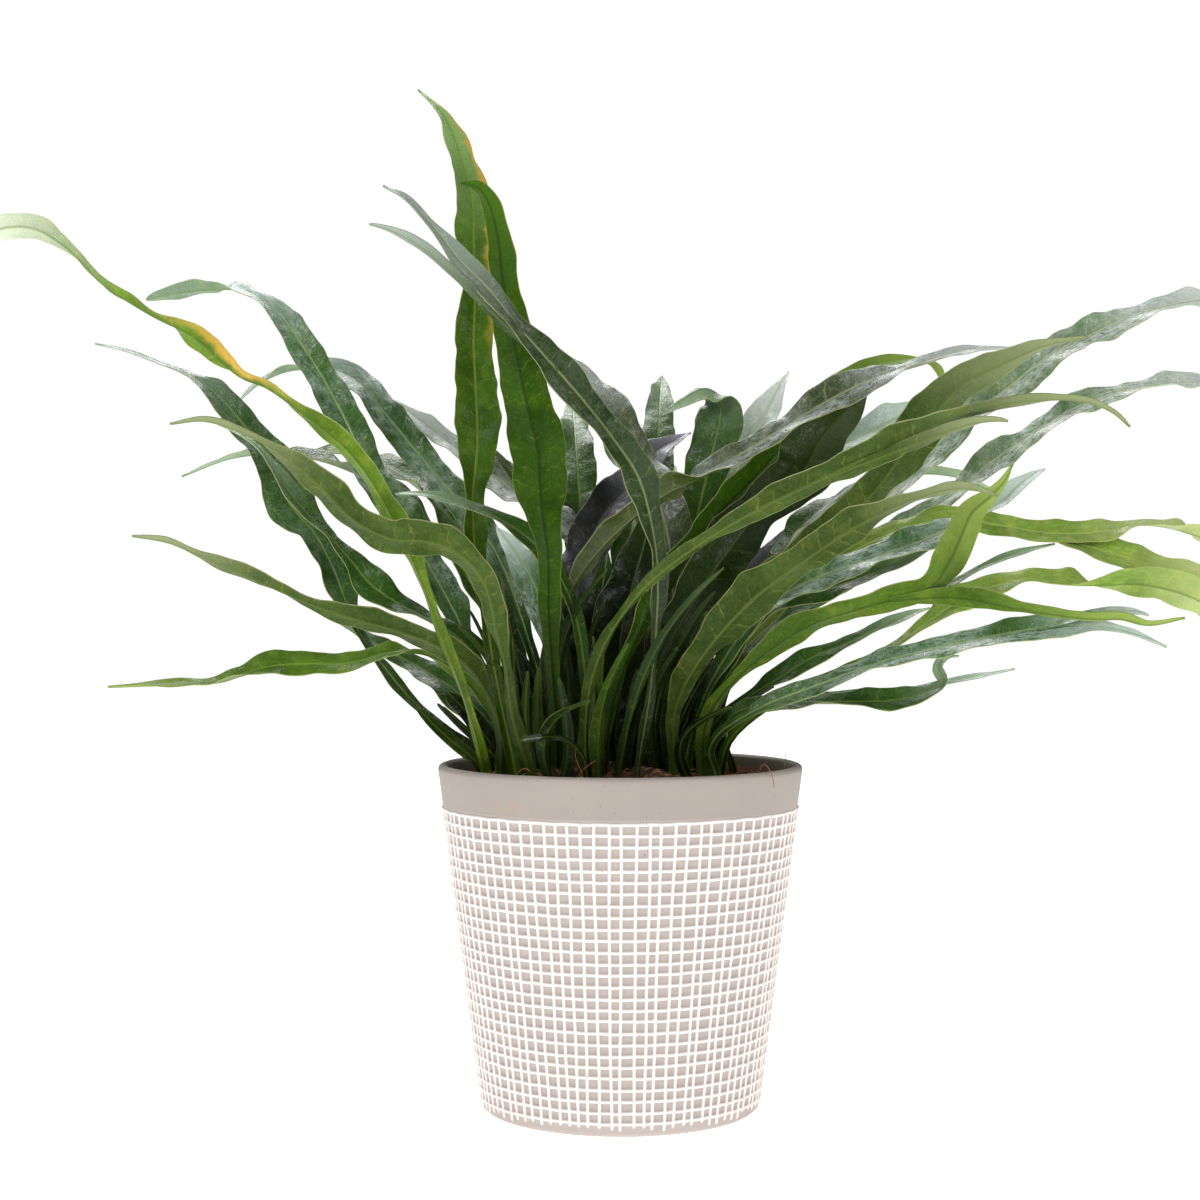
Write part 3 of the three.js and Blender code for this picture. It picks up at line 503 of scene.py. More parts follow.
pot_surface = pot_skin()
print("pot rings:", pot_surface[0].shape[:2])

# %% [markdown]
# The glaze is a satin warm grey that breaks a little lighter and darker in clouds. The beads
# are matt white slip, which has spread thin over the cells between them and most beside the
# beads. Small beige stains sit on the band at the left of the front, and dark specks of soil
# are scattered over the wall. All are patterns in the pot's own coordinates, so that they stay
# put in every view.

# %% Glaze
GLAZE_CLOUDS, GLAZE_DARK, GLAZE_LIGHT = (22.0, 4.0), srgb(160, 150, 142), srgb(170, 160, 151)
GLAZE_GRAINS, GRAIN_SHARE, GRAIN_GREY = (1.1, 3.0), 0.35, srgb(156, 146, 138)
THIN_SLIP = srgb(204, 193, 189)
THIN_SLIP_IN_CELLS = 0.4
THIN_SLIP_BY_BEADS, THIN_SLIP_RISES = 0.8, (0, 0.2)
NET_TOP_SOFT = 0.5
SLIP, SLIP_GRAIN = srgb(243, 234, 230), srgb(234, 225, 220)
SLIP_FROM_TO = (0.35, 0.65)


def thin_slip_share(tree, place, bead):
    """Thin slip all over the net's cells, and more of it beside the beads."""
    above, below = ((net_z.max() + soft) * MM for soft in (NET_TOP_SOFT, -NET_TOP_SOFT))
    in_net = step(tree, height_of(tree, place), above, below)
    by_beads = times(tree, step(tree, bead, *THIN_SLIP_RISES), THIN_SLIP_BY_BEADS)
    return calc(tree, "MAXIMUM", times(tree, in_net, THIN_SLIP_IN_CELLS), by_beads)


print("the beads stand", BEAD_PROUD, "mm proud of the glaze")

# %% Stains and specks
# Place and radius in mm
GLAZE_STAINS = [
    (-47.9, -55.7, 126.4, 2.6), (-41.6, -60.4, 127.6, 3.0), (-44.6, -58.2, 125.4, 1.8),
]
STAIN_BEIGE, STAIN_SHARE, STAIN_RAGGED = srgb(178, 150, 112), 0.55, (0.35, 0.6)
STAIN_CORE = 0.3
SPECK_BROWN, SPECK_SHARE = srgb(92, 62, 44), 0.8
SPECKS, SPECK_PEAKS = (0.9, 1.0), (0.73, 0.76)
SPECK_PATCHES, PATCH_PEAKS = (13.0, 1.0), (0.56, 0.62)


def near_spot(tree, place, spot, radius):
    """1 at a spot given in millimetres, falling to 0 at that radius."""
    centre = tuple(np.array(spot) * MM)
    away = add_node(tree, "ShaderNodeVectorMath", {0: place, 1: centre}, operation="DISTANCE")
    return step(tree, away.outputs["Value"], radius * MM, STAIN_CORE * radius * MM)


def stained(tree, colour, place, grains):
    ragged = times(tree, step(tree, grains, *STAIN_RAGGED), STAIN_SHARE)
    for x, y, z, radius in GLAZE_STAINS:
        stain = times(tree, near_spot(tree, place, (x, y, z), radius), ragged)
        colour = blend(tree, stain, colour, STAIN_BEIGE)
    return colour


def soil_specks(tree):
    """Few and small dark specks: only the highest peaks of two noises."""
    many = step(tree, speckle(tree, *SPECKS), *SPECK_PEAKS)
    few = step(tree, speckle(tree, *SPECK_PATCHES), *PATCH_PEAKS)
    return times(tree, times(tree, many, few), SPECK_SHARE)


print("stains:", len(GLAZE_STAINS))

# %% The pot
GLAZE_ROUGHNESS, SLIP_ROUGHER = 0.42, 0.3
PITS, PIT_DEPTH = (0.7, 2.0), 0.05


def glaze_colour(tree, place, bead):
    """Clouded and grainy grey, then thin slip and stains on it, then full slip on the beads."""
    grains = speckle(tree, *GLAZE_GRAINS)
    grey = blend(tree, speckle(tree, *GLAZE_CLOUDS), GLAZE_DARK, GLAZE_LIGHT)
    grey = blend(tree, times(tree, grains, GRAIN_SHARE), grey, GRAIN_GREY)
    grey = blend(tree, thin_slip_share(tree, place, bead), grey, THIN_SLIP)
    grey = stained(tree, grey, place, grains)
    slip = blend(tree, grains, SLIP, SLIP_GRAIN)
    return blend(tree, step(tree, bead, *SLIP_FROM_TO), grey, slip)


glaze, glaze_tree, glaze_shader = new_material("glaze_and_slip")
pot_place = add_node(glaze_tree, "ShaderNodeTexCoord").outputs["Object"]
bead_here = measured(glaze_tree, "bead")
slip_here = step(glaze_tree, bead_here, *SLIP_FROM_TO)
wall_colour = glaze_colour(glaze_tree, pot_place, bead_here)
fill_sockets(glaze_tree, glaze_shader, {
    "Base Color": blend(glaze_tree, soil_specks(glaze_tree), wall_colour, SPECK_BROWN),
    "Roughness": times_plus(glaze_tree, slip_here, SLIP_ROUGHER, GLAZE_ROUGHNESS),
    "Normal": raised(glaze_tree, speckle(glaze_tree, *PITS), PIT_DEPTH),
})
pot = make_piece("glazed_pot", [pot_surface], glaze, node="pot")
print("pot:", len(pot.data.polygons), "faces")

# %% [markdown]
# ## The soil
# The pot is filled with dark red-brown peat and coir to 6 mm below the rim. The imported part
# has a smooth heap there. Here the same heap gets crumbs: a fine polar grid is raised by a sum
# of small waves in random directions, which never repeats and needs no texture.

# %% Soil sizes
SOIL_AT_WALL, SOIL_HEAP, SOIL_LUMP = 133.0, 3.4, 0.9
SOIL_GAP = 0.8
SOIL_REACH = pot_radius(SOIL_AT_WALL) - POT_WALL - SOIL_GAP
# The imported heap's own waves: one across times one towards the back, and one askew
LUMP_ACROSS, LUMP_BACK, LUMP_START = 0.21, 0.17, 1.3
ASKEW_ACROSS, ASKEW_BACK, ASKEW_SHARE = 0.43, -0.31, 0.6


def soil_level(x, y):
    """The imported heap: level at the wall, heaped in the middle and a little lumpy."""
    reach = np.hypot(x, y) / (RIM_RADIUS - POT_WALL)
    lumps = np.sin(LUMP_ACROSS * x + LUMP_START) * np.sin(LUMP_BACK * y)
    lumps = lumps + ASKEW_SHARE * np.sin(ASKEW_ACROSS * x + ASKEW_BACK * y)
    return SOIL_AT_WALL + SOIL_HEAP * (1 - reach**2) + SOIL_LUMP * lumps * (1 - reach**4)


print("soil reach", round(SOIL_REACH, 1), "mm")

# %% Crumbs
CRUMB_WAVES = 46
CRUMB_LENGTHS = (2.6, 9.0)
crumb_headings = random.uniform(0, 2 * math.pi, CRUMB_WAVES)
crumb_lengths = random.uniform(*CRUMB_LENGTHS, CRUMB_WAVES)
crumb_phases = random.uniform(0, 2 * math.pi, CRUMB_WAVES)


def crumbs(x, y):
    """Sharp little crumbs: many short waves, added up and folded at their troughs."""
    total = np.zeros(np.shape(x))
    for heading, length, phase in zip(crumb_headings, crumb_lengths, crumb_phases):
        run = x * math.cos(heading) + y * math.sin(heading)
        total += np.sin(2 * math.pi * run / length + phase) * length / CRUMB_LENGTHS[1]
    return np.abs(total) * 2 / math.sqrt(CRUMB_WAVES)


print("shortest crumb wave", crumb_lengths.min().round(1), "mm")

# %% Soil skin
SOIL_RINGS, SOIL_SPOKES = 44, 150
SOIL_MIDDLE = 0.01
SOIL_SKIRT = 118.0
CRUMB_HEIGHT, CRUMB_SUNK = 0.75, 0.6
SETTLED_FROM, CRUMBS_AT_WALL = 0.9, 0.3


def soil_skin():
    """Rings from the middle to the wall, then a skirt down behind the pot's inside."""
    radii = SOIL_REACH * np.linspace(SOIL_MIDDLE, 1.0, SOIL_RINGS)[:, None]
    turns = (np.arange(SOIL_SPOKES) * 2 * math.pi / SOIL_SPOKES)[None, :]
    x, y = radii * np.cos(turns), radii * np.sin(turns)
    open_soil = 1 - smooth_step(radii, SETTLED_FROM * SOIL_REACH, SOIL_REACH)
    rough = CRUMBS_AT_WALL + (1 - CRUMBS_AT_WALL) * open_soil
    z = soil_level(x, y) + CRUMB_HEIGHT * (crumbs(x, y) - CRUMB_SUNK) * rough
    top = np.stack([x, y, z], axis=-1)
    skirt = top[-1:].copy()
    skirt[..., 2] = SOIL_SKIRT
    return np.concatenate([skirt, top[::-1]]), {}


soil_surface = soil_skin()
soil_heights = soil_surface[0][1:, :, 2]
print("soil height", soil_heights.min().round(1), "to", soil_heights.max().round(1))

# %% The soil
CLODS, CLOD_DARK, CLOD_LIGHT = (9.0, 3.0), srgb(46, 25, 15), srgb(104, 60, 40)
CRUMB_GRAIN, GRAIN_LIT, CRUMB_LIT_TOP = (1.6, 5.0), (0.48, 0.72), srgb(150, 96, 66)
CRUMB_BUMP, PEAT_ROUGHNESS = 0.9, 0.95

peat, peat_tree, peat_shader = new_material("peat_and_coir")
crumb_grain = speckle(peat_tree, *CRUMB_GRAIN)
peat_colour = blend(peat_tree, speckle(peat_tree, *CLODS), CLOD_DARK, CLOD_LIGHT)
# Painted highlight: the crumbs are painted lighter where the bump is highest, on their tops
crumbs_lit = step(peat_tree, crumb_grain, *GRAIN_LIT)
fill_sockets(peat_tree, peat_shader, {
    "Base Color": blend(peat_tree, crumbs_lit, peat_colour, CRUMB_LIT_TOP),
    "Normal": raised(peat_tree, crumb_grain, CRUMB_BUMP),
    "Roughness": PEAT_ROUGHNESS,
})
soil = make_piece("peat_bed", [soil_surface], peat, node="soil")
print("soil:", len(soil.data.polygons), "faces")

# %% [markdown]
# ## Loose coir
# A fibre is a bent tube about a third of a millimetre thick. All of them go into one mesh,
# because none is a thing of its own. Most lie flat on the soil, each with its own length,
# heading and bend. A few were seen standing at the front edge, and two had slipped over the
# rim, so those are placed one by one.

# %% Paths of the fibres
FIBRES = 300
FIBRE_STEPS = 11
FIBRE_LENGTHS = (6, 26)
FIBRE_BEND = 1.6
FIBRE_LIFT, FIBRE_ARCH = 0.7, 2.2
FIBRE_FROM_WALL, FIBRE_KEPT_IN = 4, 1
STANDING_FIBRES = [
    [(-14, -60, 133), (-14.6, -62, 139), (-17, -63, 145), (-17.5, -63.5, 150)],
    [(-18, -61, 133), (-16.5, -63, 140), (-13, -65, 144), (-10, -66, 146)],
    [(9, -62, 133), (10, -65, 139), (13, -68, 142), (15, -70, 141)],
    [(63, -24, 135), (65, -24, 138), (66, -23.5, 142), (66, -22.5, 146)],
    [(54, -44, 139), (56, -47, 143), (58.5, -49, 139), (59, -49.5, 134)],
    [(-43, -50, 134), (-41, -53, 139), (-38, -56, 142), (-35, -58, 141)],
]


def lying_fibre():
    """A fibre on the soil: a start, a heading and an even bend."""
    start = random.uniform(0, 1) ** 0.5 * (SOIL_REACH - FIBRE_FROM_WALL)
    turn = random.uniform(0, 2 * math.pi)
    heading, bend = random.uniform(0, 2 * math.pi), random.uniform(-FIBRE_BEND, FIBRE_BEND)
    length = random.uniform(*FIBRE_LENGTHS)
    share = np.linspace(0, 1, FIBRE_STEPS)
    way = heading + bend * share
    x = start * math.cos(turn) + np.cumsum(np.cos(way)) * length / FIBRE_STEPS
    y = start * math.sin(turn) + np.cumsum(np.sin(way)) * length / FIBRE_STEPS
    inside = np.minimum(1, (SOIL_REACH - FIBRE_KEPT_IN) / np.maximum(np.hypot(x, y), 1))
    lift = FIBRE_LIFT + random.uniform(0, FIBRE_ARCH) * np.sin(math.pi * share)
    x, y = x * inside, y * inside
    return np.stack([x, y, soil_level(x, y) + lift], axis=-1)


def through_points(points, count):
    """A smooth path through a few points: one polynomial for each direction."""
    given = np.arange(len(points))
    wanted = np.linspace(0, len(points) - 1, count)
    fits = [np.polyfit(given, column, len(points) - 1) for column in np.transpose(points)]
    return np.stack([np.polyval(fit, wanted) for fit in fits], axis=-1)


fibre_paths = [lying_fibre() for _ in range(FIBRES)]
fibre_paths += [through_points(points, FIBRE_STEPS) for points in STANDING_FIBRES]
print("fibres:", len(fibre_paths))

# %% The coir
FIBRE_SIDES = 4
FIBRE_RADII, FIBRE_TAPER = (0.13, 0.26), 0.5
COIR_TONES, COIR_DARK, COIR_LIGHT = (14.0, 2.0), srgb(110, 62, 34), srgb(190, 126, 78)
COIR_ROUGHNESS = 0.8
STEEP = 0.9


def tube_rings(path, radii, sides):
    """Rings of points around a path, which may bend but doesn't turn straight back."""
    ahead = normalised(np.gradient(path, axis=0))
    up = np.where(np.abs(ahead[:, 2:]) > STEEP, [[0.0, 1.0, 0.0]], [[0.0, 0.0, 1.0]])
    side = normalised(np.cross(ahead, up))
    rise = np.cross(side, ahead)
    turns = np.arange(sides) * 2 * math.pi / sides
    ring = np.cos(turns)[:, None] * side[:, None, :] + np.sin(turns)[:, None] * rise[:, None, :]
    return path[:, None, :] + np.reshape(radii, (-1, 1, 1)) * ring


def fibre_skin(path):
    radii = random.uniform(*FIBRE_RADII) * np.linspace(1.0, FIBRE_TAPER, FIBRE_STEPS)
    return tube_rings(path, radii, FIBRE_SIDES), {}


coir, coir_tree, coir_shader = new_material("coir_fibre")
fill_sockets(coir_tree, coir_shader, {
    "Base Color": blend(coir_tree, speckle(coir_tree, *COIR_TONES), COIR_DARK, COIR_LIGHT),
    "Roughness": COIR_ROUGHNESS,
})
fibres = make_piece("coir_fibres", [fibre_skin(path) for path in fibre_paths], coir)
print("coir:", len(fibres.data.polygons), "faces")

# %% [markdown]
# ## The rhizome
# The fern's stem creeps over the soil and half into it. It is thick as a finger, branches, and
# is clothed in brown papery scales. It hardly shows between the stalks, but from above it does.
# Each branch is a skin over rings along a smooth curve through the imported part's own points.
# The scales are raised by a formula: a short steep rise and a long slope, in staggered rows.
# Their colour follows the same rise: painted shade at each scale's low foot and a painted
# highlight towards its raised edge.

# %% Smooth lines
LEAST_GAP = 1e-8


def spline_parts(knots, place):
    """The four knots about each place and how far it is between the middle two."""
    before = np.clip(np.floor(place).astype(int), 0, len(knots) - 2)
    padded = np.vstack([2 * knots[:1] - knots[1:2], knots, 2 * knots[-1:] - knots[-2:-1]])
    return [padded[before + k] for k in range(4)], (place - before)[:, None]


def spline_sum(start, end, leaving, arriving, share):
    square, cube = share**2, share**3
    return (start + leaving * share
            + (3 * (end - start) - 2 * leaving - arriving) * square
            + (2 * (start - end) + leaving + arriving) * cube)


def line_through(knots, place):
    """Points on a centripetal spline, which never loops. A place of 1.5 is midway from knot 1."""
    (first, start, end, last), share = spline_parts(knots, place)
    gap_before, gap, gap_after = (
        np.maximum(np.linalg.norm(b - a, axis=1, keepdims=True), LEAST_GAP) ** 0.5
        for a, b in ((first, start), (start, end), (end, last)))
    middle = (end - start) / gap
    leaving = (start - first) / gap_before - (end - first) / (gap_before + gap) + middle
    arriving = middle - (last - start) / (gap + gap_after) + (last - end) / gap_after
    return spline_sum(start, end, leaving * gap, arriving * gap, share)


def widths_through(widths, place):
    """Widths on an evenly spaced spline through the given ones."""
    (first, start, end, last), share = spline_parts(np.reshape(widths, (-1, 1)), place)
    return spline_sum(start, end, (end - first) / 2, (last - start) / 2, share)[:, 0]


print("a rise from 0 to 1 passes", widths_through([0.0, 1.0], np.array([0.5])), "midway")

# %% Places along a line
FINE_PLACES = 201
FEWEST_PLACES = 8
NUDGE = 1e-4


def even_places(knots, spacing):
    """Places that lie evenly spaced along the line, and the line's length."""
    fine = np.linspace(0, len(knots) - 1, FINE_PLACES)
    strides = np.linalg.norm(np.diff(line_through(knots, fine), axis=0), axis=1)
    run = np.concatenate([[0], np.cumsum(strides)])
    count = max(FEWEST_PLACES, round(run[-1] / spacing) + 1)
    return np.interp(np.linspace(0, run[-1], count), run, fine), run[-1]


def ways_at(knots, place):
    """The way the line runs at each place."""
    nudge = NUDGE * (len(knots) - 1)
    after = line_through(knots, np.minimum(place + nudge, len(knots) - 1))
    return normalised(after - line_through(knots, np.maximum(place - nudge, 0)))


print("a short line still gets", FEWEST_PLACES, "places")

# %% Rhizome skins
RHIZOME_BRANCHES = [
    [[-56, -8], [-30, 4], [0, -4], [28, 6], [46, -4]],
    [[-26, 2], [-30, 24], [-18, 44]],
    [[10, -2], [16, 22], [4, 46]],
    [[-12, -2], [-24, -22], [-40, -38]],
    [[14, 0], [8, -22], [20, -38]],
]
RHIZOME_RADIUS, RHIZOME_TIP_RADIUS, RHIZOME_SUNK = 6.2, 4.0, 2.0
RHIZOME_SIDES, RHIZOME_SPACING = 42, 0.8
THICK_FROM, THICK_UNTIL = 0.12, 0.8
SCALE_LENGTH, SCALES_AROUND, SCALE_PROUD = 5.0, 7, 0.9


def scale_heights(run):
    """How far each point of a branch is up its scale, 0 to 1, in staggered rows of scales."""
    around = np.arange(RHIZOME_SIDES) / RHIZOME_SIDES * SCALES_AROUND
    row = (run / SCALE_LENGTH)[:, None] + 0.5 * (np.floor(around) % 2)
    across = np.abs(around % 1 - 0.5) * 2
    return (row % 1) * (1 - across**2)


def rhizome_branch(corners):
    x, y = np.transpose(np.array(corners, float))
    knots = np.stack([x, y, soil_level(x, y) - RHIZOME_SUNK], axis=-1)
    place, length = even_places(knots, RHIZOME_SPACING)
    centre = line_through(knots, place)
    share = np.linspace(0, 1, len(place))
    thick = smooth_step(share, 0, THICK_FROM) * (1 - smooth_step(share, THICK_UNTIL, 1))
    radius = RHIZOME_TIP_RADIUS + (RHIZOME_RADIUS - RHIZOME_TIP_RADIUS) * thick
    rings = tube_rings(centre, radius, RHIZOME_SIDES)
    scale = scale_heights(share * length)
    outwards = normalised(rings - centre[:, None, :])
    return rings + outwards * (SCALE_PROUD * scale)[..., None], {"scale": scale}


branches = [rhizome_branch(corners) for corners in RHIZOME_BRANCHES]
print("rhizome branches:", len(branches))

# %% The rhizome
SCALE_LIT, SCALE_SHADED_FOOT, SCALE_LIT_EDGE = (0.25, 0.85), srgb(52, 33, 20), srgb(142, 98, 60)
SCALE_FUZZ, FUZZ_SHARE, FUZZ_BROWN = (1.2, 4.0), 0.5, srgb(96, 70, 44)
SCALE_BUMP, SCALE_ROUGHNESS = 0.5, 0.85

scaly, scaly_tree, scaly_shader = new_material("papery_scales")
# Painted shade and highlight: each scale dark at its low foot and light towards its raised edge
scale_lit = step(scaly_tree, measured(scaly_tree, "scale"), *SCALE_LIT)
scale_fuzz = speckle(scaly_tree, *SCALE_FUZZ)
scale_colour = blend(scaly_tree, scale_lit, SCALE_SHADED_FOOT, SCALE_LIT_EDGE)
fuzzy_share = times(scaly_tree, scale_fuzz, FUZZ_SHARE)
fill_sockets(scaly_tree, scaly_shader, {
    "Base Color": blend(scaly_tree, fuzzy_share, scale_colour, FUZZ_BROWN),
    "Normal": raised(scaly_tree, scale_fuzz, SCALE_BUMP),
    "Roughness": SCALE_ROUGHNESS,
})
rhizome = make_piece("scaly_rhizome", branches, scaly, node="rhizome")
print("rhizome:", len(rhizome.data.polygons), "faces")

# %% [markdown]
# ## Where the fronds run
# Each frond follows a smooth line from its foot in the soil to its tip. Free hand curves would
# be quick to draw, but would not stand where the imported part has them. So the same traces are
# used: pixels across and down the photograph, the depth behind the pot's middle, the turn of
# the upper face (0 to the eye, 90 up or out, 180 away) and the width there. A sight line from
# the eye through the pixel, cut at that depth, gives the point.

